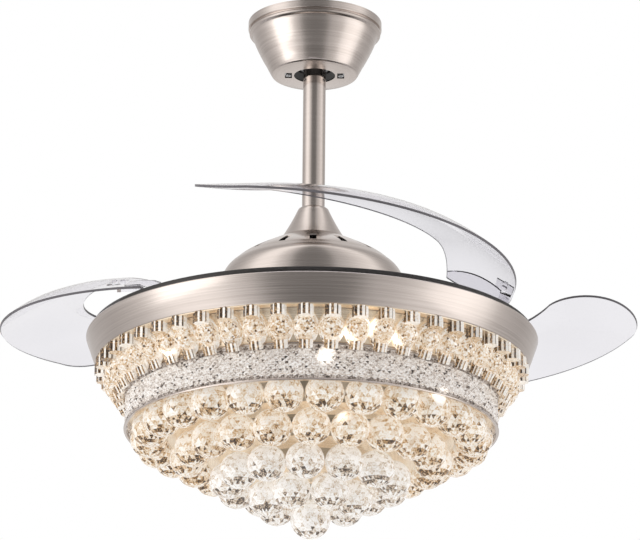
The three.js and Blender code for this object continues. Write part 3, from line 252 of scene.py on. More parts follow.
def brushed_metal(name, dark, light, roughness, painted_glow=0):
    """Metal with brushed lines round the fan's axis, and an even painted glow for the lamps that light it from
    inside.
    """
    finish = new_finish(name, metallic=1.0)
    place = add_node(finish, "TexCoord").outputs["Object"]
    split = add_node(finish, "SeparateXYZ", {"Vector": place})
    flat = add_node(finish, "VectorMath", {0: place, 1: (1, 1, 0)}, operation="MULTIPLY")
    radius = add_node(finish, "VectorMath", {0: flat.outputs[0]}, operation="LENGTH").outputs["Value"]
    across = math_node(finish, "SUBTRACT", split.outputs["Z"], radius)
    brushing = add_node(finish, "CombineXYZ", {
        "X": math_node(finish, "MULTIPLY", split.outputs["X"], STREAKS_PER_METRE),
        "Y": math_node(finish, "MULTIPLY", split.outputs["Y"], STREAKS_PER_METRE),
        "Z": math_node(finish, "MULTIPLY", across, LINES_PER_METRE)}).outputs[0]
    fine = noise(finish, brushing, 1.0, 3.0)
    clouds = noise(finish, place, 14.0, 2.0)
    mixed = add_node(finish, "Mix", {"Factor": 0.3, "A": fine, "B": clouds}).outputs[0]
    colour = ramp(finish, mixed, [(0.32, dark), (0.68, light)])
    join(finish, colour, "Base Color")
    join(finish, colour, "Emission Color")
    shader_of(finish).inputs["Emission Strength"].default_value = painted_glow
    join(finish, spread(finish, fine, roughness - 0.04, roughness + 0.06), "Roughness")
    bump = add_node(finish, "Bump", {"Height": fine, "Strength": 0.06, "Distance": BUMP_DEPTH})
    join(finish, bump.outputs["Normal"], "Normal")
    tangent = add_node(finish, "Tangent", direction_type="RADIAL", axis="Z")
    shader_of(finish).inputs["Anisotropic"].default_value = 0.8
    join(finish, tangent.outputs[0], "Tangent")
    return finish


nickel = brushed_metal("brushed_nickel", (0.545, 0.49, 0.455), (0.66, 0.60, 0.565), 0.18)
# The champagne finish carries a painted glow for the lamplight inside the fan
champagne = brushed_metal("champagne_tray", (0.68, 0.55, 0.40), (0.84, 0.74, 0.60), 0.25, painted_glow=0.2)
print("finishes", nickel.name, champagne.name)

# %% [markdown]
# ## Steel, paint and moulded plastics
# Zinc plate shows pale flakes, so a Voronoi pattern shades it. Spray paint on the deck has a fine orange peel.
# Moulded plastic is smoother, with a faint mottle. Each could be a plain colour, but light on a real part never
# falls on one flat tone.

# %% Zinc, paint, plastic, copper and laminations
def speckled(name, dark, light, metallic, roughness, grain, pattern="TexNoise", bump=0.05):
    """A finish with small specks or flakes, so many to the metre, in its tone, roughness and bump."""
    finish = new_finish(name, metallic=metallic)
    place = add_node(finish, "TexCoord").outputs["Object"]
    node = add_node(finish, pattern, {"Vector": place, "Scale": grain})
    tone = node.outputs["Fac"] if pattern == "TexNoise" else node.outputs["Distance"]
    join(finish, ramp(finish, tone, [(0.25, dark), (0.75, light)]), "Base Color")
    join(finish, spread(finish, tone, roughness - 0.05, roughness + 0.08), "Roughness")
    dimples = add_node(finish, "Bump", {"Height": tone, "Strength": bump, "Distance": BUMP_DEPTH})
    join(finish, dimples.outputs["Normal"], "Normal")
    return finish


zinc = speckled("zinc_plate", (0.48, 0.49, 0.50), (0.66, 0.67, 0.68), 1.0, 0.36, 260, "TexVoronoi")
black_paint_and_shade = speckled("black_paint", (0.010, 0.008, 0.007), (0.022, 0.018, 0.016), 0.0, 0.38, 700, bump=0.12)
laminations = speckled("stator_laminations", (0.16, 0.16, 0.17), (0.26, 0.26, 0.27), 0.9, 0.5, 900)
copper = speckled("enamelled_copper", (0.42, 0.13, 0.05), (0.66, 0.26, 0.12), 1.0, 0.3, 500)
magnet = speckled("magnet_grey", (0.035, 0.035, 0.037), (0.07, 0.07, 0.075), 0.3, 0.55, 400)
white_plastic = speckled("white_plastic", (0.72, 0.71, 0.69), (0.80, 0.79, 0.77), 0.0, 0.42, 300, bump=0.03)
acetal = speckled("acetal", (0.62, 0.60, 0.55), (0.70, 0.68, 0.62), 0.0, 0.4, 300, bump=0.03)
print("finishes", zinc.name, black_paint_and_shade.name, laminations.name, copper.name, magnet.name)

# %% [markdown]
# ## Crystal
# Cut crystal over a lit tray is never one tone: each facet sends the eye somewhere else, to a lamp, to the
# gold, or to a dark gap. Glass alone needs many bounces to find all that, so these reflections are painted:
# a pattern of cells would not meet the edges of the facets, so each face keeps its own painted tone as an
# attribute of the mesh, and the finish turns that tone into brown, amber, cream or white. A clear share lets
# through what lies behind, and a faint painted glow stands for the light inside. Seven lamps that shine
# straight through are painted glints: near each of their places, which are fixed points of the fan, the glow
# rises to white.

# %% Cut crystal
SPARKLE = 1.6 * MM
SPARKLE_SHIFT = 0.75
GLOW_REACH = 12 * MM
LAMP_GLOW = 1.6
LAMP_WHITE = (1.0, 0.95, 0.84, 1.0)
GLASS_IOR = 1.5
# Where the painted lamp glints lie: degrees round from the front, radius, and height from the ring's top
PAINTED_GLINT_PLACES = [(-45.4, 216 * MM, -60 * MM), (4, 205 * MM, -78 * MM), (10.4, 214 * MM, -58 * MM),
              (16.3, 218 * MM, -48 * MM), (24.8, 214 * MM, -57 * MM), (43.9, 196 * MM, -101 * MM),
              (11.9, 152 * MM, -126 * MM)]
lamp_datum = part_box("nickel_ring")[1].z


def nearness_to_painted_glints(finish, place):
    """One at a painted lamp glint, falling to nothing at the glow's reach."""
    nearest = None
    for degrees, radius, level in PAINTED_GLINT_PLACES:
        angle = math.radians(degrees)
        spot = (radius * math.sin(angle), -radius * math.cos(angle), lamp_datum + level)
        away = add_node(finish, "VectorMath", {0: place, 1: spot}, operation="DISTANCE").outputs["Value"]
        fall = add_node(finish, "MapRange", {"Value": away, "From Min": GLOW_REACH, "From Max": 0.0})
        near = fall.outputs["Result"]
        nearest = near if nearest is None else math_node(finish, "MAXIMUM", nearest, near)
    return nearest


def cut_crystal(name, tones, painted_glow, clearness):
    """Crystal that takes its painted reflection tones from the facets' own attribute, with a painted glow."""
    finish = new_finish(name, roughness=0.04)
    shader = shader_of(finish)
    shader.inputs["IOR"].default_value = GLASS_IOR
    shader.inputs["Transmission Weight"].default_value = clearness
    facet = add_node(finish, "Attribute", attribute_name="facet").outputs["Fac"]
    place = add_node(finish, "TexCoord").outputs["Object"]
    # Painted sparkle: a fine noise shifts each facet's tone into smaller patches of painted reflection
    shift = spread(finish, noise(finish, place, 1 / SPARKLE, 2.0), -SPARKLE_SHIFT, SPARKLE_SHIFT)
    tone = add_node(finish, "Math", {0: facet, 1: shift}, operation="ADD", use_clamp=True).outputs[0]
    colour = ramp(finish, tone, tones)
    join(finish, colour, "Base Color")
    # Painted glints: near the seven lamp places the glow is painted up to white
    lit = nearness_to_painted_glints(finish, place)
    glowing = add_node(finish, "Mix", {0: lit, 6: colour, 7: LAMP_WHITE}, data_type="RGBA").outputs[2]
    join(finish, glowing, "Emission Color")
    join(finish, spread(finish, lit, painted_glow, LAMP_GLOW), "Emission Strength")
    return finish


# Painted reflection colours from the darkest facet to the brightest, each with its place on the ramp
WARM_TONES = [(0.0, (0.03, 0.02, 0.015)), (0.14, (0.16, 0.10, 0.06)), (0.28, (0.55, 0.33, 0.14)),
              (0.42, (0.70, 0.55, 0.38)), (0.6, (0.80, 0.71, 0.59)), (0.78, (0.93, 0.89, 0.82)),
              (1.0, (1.0, 1.0, 0.98))]
COOL_TONES = [(0.0, (0.05, 0.04, 0.035)), (0.14, (0.20, 0.16, 0.135)), (0.28, (0.56, 0.43, 0.30)),
              (0.42, (0.70, 0.63, 0.55)), (0.6, (0.80, 0.77, 0.73)), (0.78, (0.92, 0.92, 0.91)),
              (1.0, (1.0, 1.0, 1.0))]
GREY_TONES = [(0.0, (0.02, 0.015, 0.015)), (0.14, (0.14, 0.11, 0.09)), (0.3, (0.38, 0.32, 0.28)),
              (0.45, (0.56, 0.50, 0.46)), (0.62, (0.72, 0.67, 0.62)), (0.8, (0.88, 0.85, 0.82)),
              (1.0, (1.0, 1.0, 1.0))]
warm_crystal = cut_crystal("warm_crystal", WARM_TONES, 0.22, 0.22)
cool_crystal = cut_crystal("cool_crystal", COOL_TONES, 0.22, 0.25)
band_crystal = cut_crystal("band_crystal", GREY_TONES, 0.18, 0.12)
print("finishes", warm_crystal.name, cool_crystal.name, band_crystal.name)

# %% Tones for the facets
def paint_facets(piece, rule, seed):
    """Keeps a painted tone of reflected light and shade for each face, from 0 for dark to 1 for white."""
    dice = random.Random(seed)
    tones = piece.data.attributes.new("facet", "FLOAT", "FACE")
    for face in piece.data.polygons:
        tones.data[face.index].value = rule(face, dice)


def pick(dice, *choices):
    """One of several (share, low, high) ranges of tone, by their shares."""
    throw = dice.random()
    for share, low, high in choices:
        throw -= share
        if throw <= 0:
            return dice.uniform(low, high)
    return dice.uniform(choices[-1][1], choices[-1][2])


def ball_painted_reflection(face, dice):
    """Painted reflection: the tray above shows upside down through a ball, painted as a brown ring low on it,
    and its top is painted pale.
    """
    down = -face.normal.z
    if down > 0.88:
        return pick(dice, (0.3, 0.3, 0.45), (0.7, 0.6, 0.9))
    if down > 0.60:
        return pick(dice, (0.42, 0.04, 0.22), (0.28, 0.35, 0.5), (0.3, 0.6, 0.85))
    if down > 0.0:
        return pick(dice, (0.04, 0.08, 0.2), (0.24, 0.38, 0.52), (0.44, 0.58, 0.74), (0.28, 0.8, 1.0))
    return pick(dice, (0.2, 0.4, 0.55), (0.4, 0.62, 0.8), (0.4, 0.85, 1.0))


print("facet rules ready")

# %% [markdown]
# ## Clear blade plastic
# The blades are moulded in clear plastic with a pale lavender tint. Their broad faces let the wall behind
# through, and their edges look dark, because light that enters an edge is led away inside the sheet. Clear
# plastic alone turns such an edge black, so the blade has two finishes: a clear one for its faces and a nearly
# solid grey one for its edge, which is painted shade for that dark look.

# %% Clear plastic for the blades
PLASTIC_IOR = 1.2


def clear_plastic(name, thin, thick, roughness, clearness=1):
    """Plastic that lets a share of the light through, with faint flow marks from the mould."""
    finish = new_finish(name)
    shader = shader_of(finish)
    shader.inputs["IOR"].default_value = PLASTIC_IOR
    shader.inputs["Transmission Weight"].default_value = clearness
    place = add_node(finish, "TexCoord").outputs["Object"]
    flow = noise(finish, place, 9.0, 1.0)
    join(finish, ramp(finish, flow, [(0.3, thick), (0.7, thin)]), "Base Color")
    join(finish, spread(finish, flow, roughness, roughness + 0.06), "Roughness")
    return finish


blade_plastic = clear_plastic("blade_plastic", (0.87, 0.86, 0.89), (0.83, 0.82, 0.85), 0.02)
# Painted shade: the edge finish is a nearly solid grey for the dark look of the blade's edges
blade_edge_shade = clear_plastic("blade_edge_shade", (0.24, 0.23, 0.25), (0.16, 0.155, 0.17), 0.25, clearness=0.15)
print("finishes", blade_plastic.name, blade_edge_shade.name)

# %% Dress a finished piece
def dress(piece, body, finish, slot, *replaced):
    """Gives the piece its finish and the body it rides on, and hides the nodes that it stands for. The slot is
    not used.
    """
    piece.data.materials.clear()
    for each in finish if isinstance(finish, (list, tuple)) else [finish]:
        piece.data.materials.append(each)
    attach(piece, body)
    if replaced:
        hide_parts(*replaced)
    return piece


# %% [markdown]
# ## Canopy
# The canopy is a spun cup that hides the ceiling bracket: a flat rim, a groove and a bead, then a bowl that
# narrows to a flat floor with a hole for the rod. Its outline is given as shares of the frame's radius and
# height. The rounded corner at the floor is a short pulled curve. Two slots are cut for its screws. Its inner
# faces get the black paint finish as painted shade, for the dark inside of the cup.

# %% Canopy
canopy_low, canopy_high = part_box("canopy")
CANOPY_RIM = canopy_high.x
CANOPY_HEIGHT = canopy_high.z - canopy_low.z
CANOPY_HOLE = 23.2 * MM
CANOPY_WALL = 1.3 * MM
CANOPY_SLOT_RADIUS = 29.5 * MM
CANOPY_SLOT_WIDTH = 8 * MM
SLOT_CUTTER = (CANOPY_SLOT_WIDTH, 2 * CANOPY_SLOT_WIDTH, 1.5 * CANOPY_SLOT_WIDTH)
rim_shares = [(1, 0), (1, 0.125), (0.992, 0.135), (0.966, 0.138), (0.966, 0.158), (0.976, 0.166), (0.984, 0.19),
              (0.982, 0.215), (0.966, 0.232), (0.945, 0.238), (0.936, 0.25)]
bowl_shares = bend((0.936, 0.25), (0.87, 0.50), (0.725, 0.80), 8)[1:]
corner_shares = bend((0.725, 0.80), (0.685, 0.90), (0.652, 0.97), 4)[1:] + [(0.638, 0.992), (0.622, 1.0)]
canopy_outline = [(across * CANOPY_RIM, -down * CANOPY_HEIGHT)
                  for across, down in rim_shares + bowl_shares + corner_shares]
canopy_outline.append((CANOPY_HOLE, -CANOPY_HEIGHT))
canopy = spun("canopy_shell", walled(canopy_outline[::-1], CANOPY_WALL))
for side in (-1, 1):
    clear_selection()
    bpy.ops.mesh.primitive_cube_add(size=1, location=(side * CANOPY_SLOT_RADIUS, 0, -CANOPY_HEIGHT))
    slot_cutter = bpy.context.object
    slot_cutter.scale = SLOT_CUTTER
    apply_modifier(slot_cutter, "BEVEL", width=0.4 * CANOPY_SLOT_WIDTH, segments=4)
    cut_away(canopy, slot_cutter)
soften(canopy)
dress(canopy, "ceiling_mount", [nickel, black_paint_and_shade], "nickel", "canopy")
# Painted shade: faces turned inwards and the floor inside the cup get the black finish
for face in canopy.data.polygons:
    outward = face.center.x * face.normal.x + face.center.y * face.normal.y
    inner_floor_shade = face.normal.z > 0.7 and face.center.z < -0.5 * CANOPY_HEIGHT
    face.material_index = 1 if inner_floor_shade or outward < -0.1 * CANOPY_HOLE else 0
print("canopy faces", len(canopy.data.polygons))

# %% [markdown]
# ## Screws
# Each canopy screw is a pan head with a cross recess. The head starts as a short cylinder. Its top edge is
# bevelled to a dome, and the cross is a boolean cut of two crossed bars.

# %% Canopy screws
def pan_head_screw(name, node):
    """A domed head with a cross recess, looking down, at the node's place."""
    low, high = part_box(node)
    middle = (low + high) / 2
    radius = (high.x - low.x) / 2
    head = 0.3 * (high.z - low.z)
    clear_selection()
    bpy.ops.mesh.primitive_cylinder_add(vertices=32, radius=radius, depth=head,
                                        location=(middle.x, middle.y, low.z + head / 2))
    screw = bpy.context.object
    screw.name = name
    bpy.ops.object.transform_apply(location=True)
    bpy.ops.object.mode_set(mode="EDIT")
    mesh = bmesh.from_edit_mesh(screw.data)
    for face in mesh.faces:
        face.select_set(face.normal.z > 0.9)
    bmesh.update_edit_mesh(screw.data)
    bpy.ops.mesh.inset(thickness=0.35 * radius)
    bpy.ops.mesh.extrude_region_move(TRANSFORM_OT_translate={"value": (0, 0, high.z - low.z - head)})
    bpy.ops.object.mode_set(mode="OBJECT")
    apply_modifier(screw, "BEVEL", width=0.3 * head, segments=3, limit_method="ANGLE")
    for turn in (0, math.pi / 2):
        clear_selection()
        bpy.ops.mesh.primitive_cube_add(size=1, location=(middle.x, middle.y, low.z), rotation=(0, 0, turn))
        bar = bpy.context.object
        bar.scale = (1.3 * radius, 0.22 * radius, head)
        cut_away(screw, bar)
    soften(screw)
    return screw


for number in (1, 2):
    screw = pan_head_screw(f"canopy_pan_screw_{number}", f"canopy_screw_{number}")
    dress(screw, "ceiling_mount", zinc, "zinc_steel", f"canopy_screw_{number}")
print("screws made")

# %% [markdown]
# ## Hanger ball and downrod
# The rod is a plain tube, round enough that no facet shows, and the ball is a turned shape cut flat above and
# below. A sphere cut by two planes would do for the ball, but it also needs the rod's bore. So both are circles
# extruded along an outline, and the ball's own arc is worked out from its radius.

# %% Hanger ball
ball_low, ball_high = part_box("hanger_ball")
rod_low, rod_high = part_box("downrod")
ROD_RADIUS = rod_high.x
ROD_WALL = 2 * MM
BALL_RADIUS = ball_high.x
BALL_CENTRE = -40 * MM
BALL_STEPS = 12
BALL_CLEARANCE = 0.3 * MM
arc_low = math.asin(max(-1, (ball_low.z - BALL_CENTRE) / BALL_RADIUS))
arc_high = math.asin(min(1, (ball_high.z - BALL_CENTRE) / BALL_RADIUS))
ball_outline = []
for step in range(BALL_STEPS + 1):
    angle = arc_low + (arc_high - arc_low) * step / BALL_STEPS
    ball_outline.append((BALL_RADIUS * math.cos(angle), BALL_CENTRE + BALL_RADIUS * math.sin(angle)))
ball_bore = ROD_RADIUS + BALL_CLEARANCE
ball_outline += [(ball_bore, ball_high.z), (ball_bore, ball_low.z)]
hanger = spun("hanger_half_ball", ball_outline, sides=64)
soften(hanger)
dress(hanger, "hanging_frame", zinc, "zinc_steel", "hanger_ball")
print("ball radius", BALL_RADIUS)

# %% Downrod
rod_outline = [(ROD_RADIUS - ROD_WALL, rod_low.z), (ROD_RADIUS, rod_low.z), (ROD_RADIUS, rod_high.z),
               (ROD_RADIUS - ROD_WALL, rod_high.z)]
rod = spun("downrod_tube", rod_outline, sides=72)
soften(rod)
dress(rod, "hanging_frame", nickel, "nickel", "downrod")
print("rod from", rod_high.z, "to", rod_low.z)

# %% [markdown]
# ## Coupling cover and motor dome
# The cover is a small cone that flares where it sits on the dome. The dome is spun in one piece: a shallow
# cone, a soft crease, then a full flank that drops nearly straight to the deck. Fifteen vents are cut round its
# shoulder. They could be fifteen boolean cuts, and one joined cutter does them all in a single cut.

# %% Coupling cover
cover_low, cover_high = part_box("coupling_cover")
COVER_WALL = 1.3 * MM
cover_height = cover_high.z - cover_low.z
cover_base = cover_high.x
cover_neck = 16 * MM
COVER_CLEARANCE = 0.4 * MM
cover_waist = (0.48 * cover_base + 0.52 * cover_neck, cover_low.z + 0.44 * cover_height)
cover_shoulder = (cover_neck + 1.2 * MM, cover_high.z - 0.05 * cover_height)
cover_side = bend((cover_base, cover_low.z), cover_waist, cover_shoulder, 12)
cover_lip = (ROD_RADIUS + COVER_CLEARANCE, cover_high.z)
cover_top = bend(cover_shoulder, (cover_neck, cover_high.z), cover_lip, 4)[1:]
cover = spun("coupling_cone", walled(cover_side + cover_top, COVER_WALL))
soften(cover, 50)
dress(cover, "hanging_frame", nickel, "nickel", "coupling_cover")
print("cover from", cover_high.z, "to", cover_low.z)

# %% Motor dome
dome_low, dome_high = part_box("motor_dome")
DOME_WALL = 1.5 * MM
DOME_HOLE = 21 * MM
dome_height = dome_high.z - dome_low.z
dome_radius = dome_high.x
VENTS = 15
VENT_LENGTH = 23 * MM
VENT_WIDTH = 7.5 * MM
VENT_RADIUS = 0.70 * dome_radius


def dome_point(radius_share, height_share):
    """A point of the dome's outline, in shares of its radius and height."""
    return (dome_radius * radius_share, dome_low.z + dome_height * height_share)


dome_lid = [(DOME_HOLE, dome_high.z), dome_point(0.35, 1.0)]
dome_shoulder = bend(dome_point(0.35, 1.0), dome_point(0.55, 0.91), dome_point(0.721, 0.816), 6)[1:]
dome_crease = bend(dome_point(0.721, 0.816), dome_point(0.80, 0.775), dome_point(0.86, 0.715), 4)[1:]
dome_flank = bend(dome_point(0.86, 0.715), dome_point(0.982, 0.64), dome_point(0.994, 0.45), 8)[1:]
dome_flank += bend(dome_point(0.994, 0.45), dome_point(1.0, 0.28), dome_point(1.0, 0.0), 6)[1:]
dome_outline = dome_lid + dome_shoulder + dome_crease + dome_flank
dome = spun("motor_dome_shell", walled(dome_outline[::-1], DOME_WALL))
cutters = []
for vent in range(VENTS):
    angle = FULL_TURN * vent / VENTS
    clear_selection()
    middle = (VENT_RADIUS * math.sin(angle), -VENT_RADIUS * math.cos(angle), dome_low.z + 0.84 * dome_height)
    bpy.ops.mesh.primitive_cube_add(size=1, location=middle, rotation=(0, 0, angle))
    slot_cutter = bpy.context.object
    slot_cutter.scale = (VENT_WIDTH, VENT_LENGTH, 4 * VENT_LENGTH)
    bpy.ops.object.transform_apply(location=True, rotation=True, scale=True)
    cutters.append(slot_cutter)
only(cutters[0])
for slot_cutter in cutters:
    slot_cutter.select_set(True)
bpy.ops.object.join()
cut_away(dome, cutters[0])
soften(dome, 40)
dress(dome, "hanging_frame", nickel, "nickel", "motor_dome")
print("dome radius", dome_radius, "height", dome_height, "vents", VENTS)

# %% [markdown]
# ## Nickel ring
# The ring is a rolled band, a little wider at the top, with its lower edge turned in to carry the light. Under
# that edge lies a thin gold strip, a painted reflection of the carrier's gold. A flat sheet could be bent
# round, but a turned outline gives the taper and the rolled edges at once.

# %% Nickel ring
ring_low, ring_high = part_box("nickel_ring")
RING_WALL = 1.5 * MM
RING_FLANGE = 25 * MM
ring_foot = 0.956 * ring_high.x
ring_outline = [(ring_foot - RING_FLANGE, ring_low.z), (ring_foot - 0.5 * RING_WALL, ring_low.z),
                (ring_foot, ring_low.z + 0.5 * RING_WALL),
                (ring_high.x - 0.3 * RING_WALL, ring_high.z - 0.6 * RING_WALL),
                (ring_high.x - 0.5 * RING_WALL, ring_high.z)]
ring = spun("nickel_band", walled(ring_outline, RING_WALL), sides=192)
soften(ring)
dress(ring, "hanging_frame", nickel, "nickel", "nickel_ring")
# Painted reflection: the thin champagne strip under the ring's edge stands for the carrier's gold seen there
STRIP = 1 * MM
strip_inner = ring_foot - 12 * MM
strip_outer = ring_foot - 1.4 * MM
strip_top = ring_low.z - 0.1 * MM
strip_outline = [(strip_inner, ring_low.z - STRIP), (ring_foot - 2 * MM, ring_low.z - STRIP),
                 (strip_outer, strip_top), (strip_inner, strip_top)]
strip = spun("painted_gold_reflection", strip_outline, sides=192)
soften(strip)
dress(strip, "hanging_frame", champagne, "champagne")
print("ring radius", ring_high.x, "foot", ring_foot)

# %% [markdown]
# ## Blade deck
# The deck is a black tray that turns with the motor. Its rolled rim shows as a dark line above the nickel ring.
# It is turned like the ring, and the three holes for the blade hubs are cut with cylinders.

# %% Blade deck
deck_low, deck_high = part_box("blade_deck")
DECK_BORE = 62 * MM
DECK_FLOOR = deck_high.z - 2 * MM
DECK_SHEET = 1.6 * MM
DECK_RIM = 3.4 * MM
PIVOT_RADIUS = 222.5 * MM
PIVOT_HOLE = 8.6 * MM
STATION = math.radians(67.4)
BLADES = 3
deck_edge = deck_high.x
deck_outline = [(DECK_BORE, DECK_FLOOR - DECK_SHEET), (deck_edge - DECK_RIM, DECK_FLOOR - DECK_SHEET),
                (deck_edge - 0.4 * DECK_RIM, deck_low.z),
                (deck_edge - 0.1 * DECK_RIM, deck_low.z + 0.3 * DECK_RIM),
                (deck_edge, deck_high.z - 0.5 * DECK_RIM),
                (deck_edge - 0.15 * DECK_RIM, deck_high.z - 0.15 * DECK_RIM),
                (deck_edge - 0.4 * DECK_RIM, deck_high.z),
                (deck_edge - 0.7 * DECK_RIM, deck_high.z - 0.15 * DECK_RIM),
                (deck_edge - DECK_RIM, DECK_FLOOR), (DECK_BORE, DECK_FLOOR)]
deck = spun("blade_deck_plate", deck_outline, sides=192)
for number in range(BLADES):
    angle = STATION + FULL_TURN * number / BLADES
    middle = (PIVOT_RADIUS * math.sin(angle), -PIVOT_RADIUS * math.cos(angle), DECK_FLOOR)
    clear_selection()
    bpy.ops.mesh.primitive_cylinder_add(vertices=48, radius=PIVOT_HOLE, depth=8 * DECK_SHEET, location=middle)
    cut_away(deck, bpy.context.object)
soften(deck)
dress(deck, "rotor", black_paint_and_shade, "black_paint", "blade_deck")
print("deck radius", deck_edge)

# %% [markdown]
# ## Blades
# Each blade is a long shell that follows the ring when folded. It could be sculpted, but three blades have to
# match, so curves along the span give its edges, its lift and its camber, and a droop lowers the inner corner
# of its root. The blade is a grid whose corners these curves place, closed by a round end. A solidify modifier
# gives the sheet its thickness and puts the grey finish on the edge faces. The root pad is a second, shorter
# grid on top, with a curved front line.

# %% The blade's surface
# Each law holds a value at the root, a pull in the middle and a value at the end of the span
OPENING = math.radians(37.6)
ROOT_ANGLE = 2
SWEEP = 117
INNER_EDGE = (159 * MM, 127 * MM, 146 * MM)
OUTER_EDGE = (228 * MM, 225 * MM, 242 * MM)
INNER_LIFT = (61 * MM, 53 * MM, 78 * MM)
OUTER_LIFT = (16.5 * MM, 28.5 * MM, 47.7 * MM)
CAMBER = (-4 * MM, 23.6 * MM, 4 * MM)
END_REACH = 66 * MM
BLADE_SHEET = 2.6 * MM
PAD_SHEET = 1.8 * MM
HEAD = ring_high.z
ROOT_DROOP = 20 * MM
DROOP_SPAN = 0.24


def law(values, share):
    """The value of one of those laws at a share of the span."""
    root, pull, end = values
    rest = 1 - share
    return rest * rest * root + 2 * rest * share * pull + share * share * end


def folded_point(span, chord):
    """A point of the blade's middle surface, folded, with its pivot at the front."""
    angle = -math.radians(ROOT_ANGLE + SWEEP * span)
    radius = law(INNER_EDGE, span) * (1 - chord) + law(OUTER_EDGE, span) * chord
    lift = law(INNER_LIFT, span) * (1 - chord) + law(OUTER_LIFT, span) * chord
    lift += law(CAMBER, span) * 4 * chord * (1 - chord)
    lift -= ROOT_DROOP * (1 - chord) * max(0, 1 - span / DROOP_SPAN) ** 2
    return Vector((radius * math.sin(angle), -radius * math.cos(angle), HEAD + lift))


def opened(point, number):
    """The point with the blade swung open and turned to its own place on the deck."""
    pivot = Matrix.Translation((0, -PIVOT_RADIUS, 0))
    swing = pivot @ Matrix.Rotation(OPENING, 4, "Z") @ pivot.inverted()
    return Matrix.Rotation(STATION + FULL_TURN * number / BLADES, 4, "Z") @ swing @ point


SPAN_STEPS = 56
END_STEPS = 14
CHORD_STEPS = 20
onward = (folded_point(1, 0.5) - folded_point(0.98, 0.5)).normalized()


def blade_point(row, column):
    """Row and column of the grid: the swept part first, then the rounded end."""
    chord = column / CHORD_STEPS
    if row <= SPAN_STEPS:
        return folded_point(row / SPAN_STEPS, chord)
    turn = math.pi / 2 * (row - SPAN_STEPS) / END_STEPS
    narrowed = 0.5 + (chord - 0.5) * math.cos(turn)
    return folded_point(1, narrowed) + onward * END_REACH * math.sin(turn)


def grid_piece(name, rows, columns, place):
    """A grid primitive whose corners are set to place(row, column)."""
    clear_selection()
    bpy.ops.mesh.primitive_grid_add(x_subdivisions=columns, y_subdivisions=rows, size=1)
    piece = bpy.context.object
    piece.name = name
    for corner in piece.data.vertices:
        column = round((corner.co.x + 0.5) * columns)
        row = round((corner.co.y + 0.5) * rows)
        corner.co = place(row, column)
    tidy_faces(piece)
    return piece


print("blade tip", tuple(opened(blade_point(SPAN_STEPS + END_STEPS, 10), 0)))

# %% Blades and their root pads
PAD_SPAN = 0.02
PAD_BOW = 0.05
PAD_ROWS = 8
PAD_GAP = 0.1 * MM


def pad_point(row, column):
    """Row and column of the pad, whose front line bows outwards in the middle."""
    chord = column / CHORD_STEPS
    reach = PAD_SPAN + PAD_BOW * 4 * chord * (1 - chord)
    lift = BLADE_SHEET / 2 + PAD_SHEET / 2 + PAD_GAP
    return folded_point(reach * row / PAD_ROWS, chord) + Vector((0, 0, lift))


def face_up(piece):
    """Turns an open sheet's faces over if they look down."""
    if sum(face.normal.z * face.area for face in piece.data.polygons) < 0:
        only(piece)
        bpy.ops.object.mode_set(mode="EDIT")
        bpy.ops.mesh.select_all(action="SELECT")
        bpy.ops.mesh.flip_normals()
        bpy.ops.object.mode_set(mode="OBJECT")


def clear_sheet(name, number, rows, surface, thickness, finishes=(blade_plastic,)):
    """A moulded sheet on blade number's surface. A second finish, if there is one, goes on its edge."""
    sheet = grid_piece(name, rows, CHORD_STEPS, lambda row, column: opened(surface(row, column), number))
    face_up(sheet)
    for finish in finishes:
        sheet.data.materials.append(finish)
    apply_modifier(sheet, "SOLIDIFY", thickness=thickness, offset=0, material_offset_rim=len(finishes) - 1)
    soften(sheet, 40)
    return sheet


for number in range(BLADES):
    body = f"folding_blade_{number + 1}"
    blade = clear_sheet(f"clear_blade_{number + 1}", number, SPAN_STEPS + END_STEPS, blade_point, BLADE_SHEET,
                        (blade_plastic, blade_edge_shade))
    indices = [face.material_index for face in blade.data.polygons]
    dress(blade, body, [blade_plastic, blade_edge_shade], "blade_plastic", f"blade_{number + 1}")
    for face, index in zip(blade.data.polygons, indices):
        face.material_index = index
    pad = clear_sheet(f"blade_pad_{number + 1}", number, PAD_ROWS, pad_point, PAD_SHEET)
    dress(pad, body, blade_plastic, "blade_plastic")
print("blades", BLADES, "faces each", len(blade.data.polygons))

# %% [markdown]
# ## Blade arms
# Under each blade's root a small clear shelf carries it, moulded with the pad, and a black hub joins the shelf
# to the pivot. The hub is turned in place like the rod, then moved out to its pivot with its mesh. The shelf
# could be a box, but it has to follow the blade's twist, so it is one more grid on the blade's own curves.

# %% Blade arms
SHELF_CHORDS = (0.80, 0.96)
SHELF_SPANS = (0.004, 0.06)
SHELF_SHEET = 3 * MM
SHELF_GAP = 0.3 * MM
HUB_RADIUS = 12 * MM
SPIGOT_RADIUS = 8 * MM
HUB_BORE = 4.3 * MM
HUB_CHAMFER = 0.6 * MM
HUB_ROUND = 1.5 * MM
HUB_FLOOR = HEAD + 6 * MM
HUB_TOP = HEAD + 13 * MM
SPIGOT_END = HEAD - 5.6 * MM
SHELF_ROWS = 6


def shelf_point(row, column):
    """Row and column of the shelf, just under the blade."""
    chord = SHELF_CHORDS[0] + (SHELF_CHORDS[1] - SHELF_CHORDS[0]) * column / CHORD_STEPS
    span = SHELF_SPANS[0] + (SHELF_SPANS[1] - SHELF_SPANS[0]) * row / SHELF_ROWS
    return folded_point(span, chord) - Vector((0, 0, BLADE_SHEET / 2 + SHELF_SHEET / 2 + SHELF_GAP))


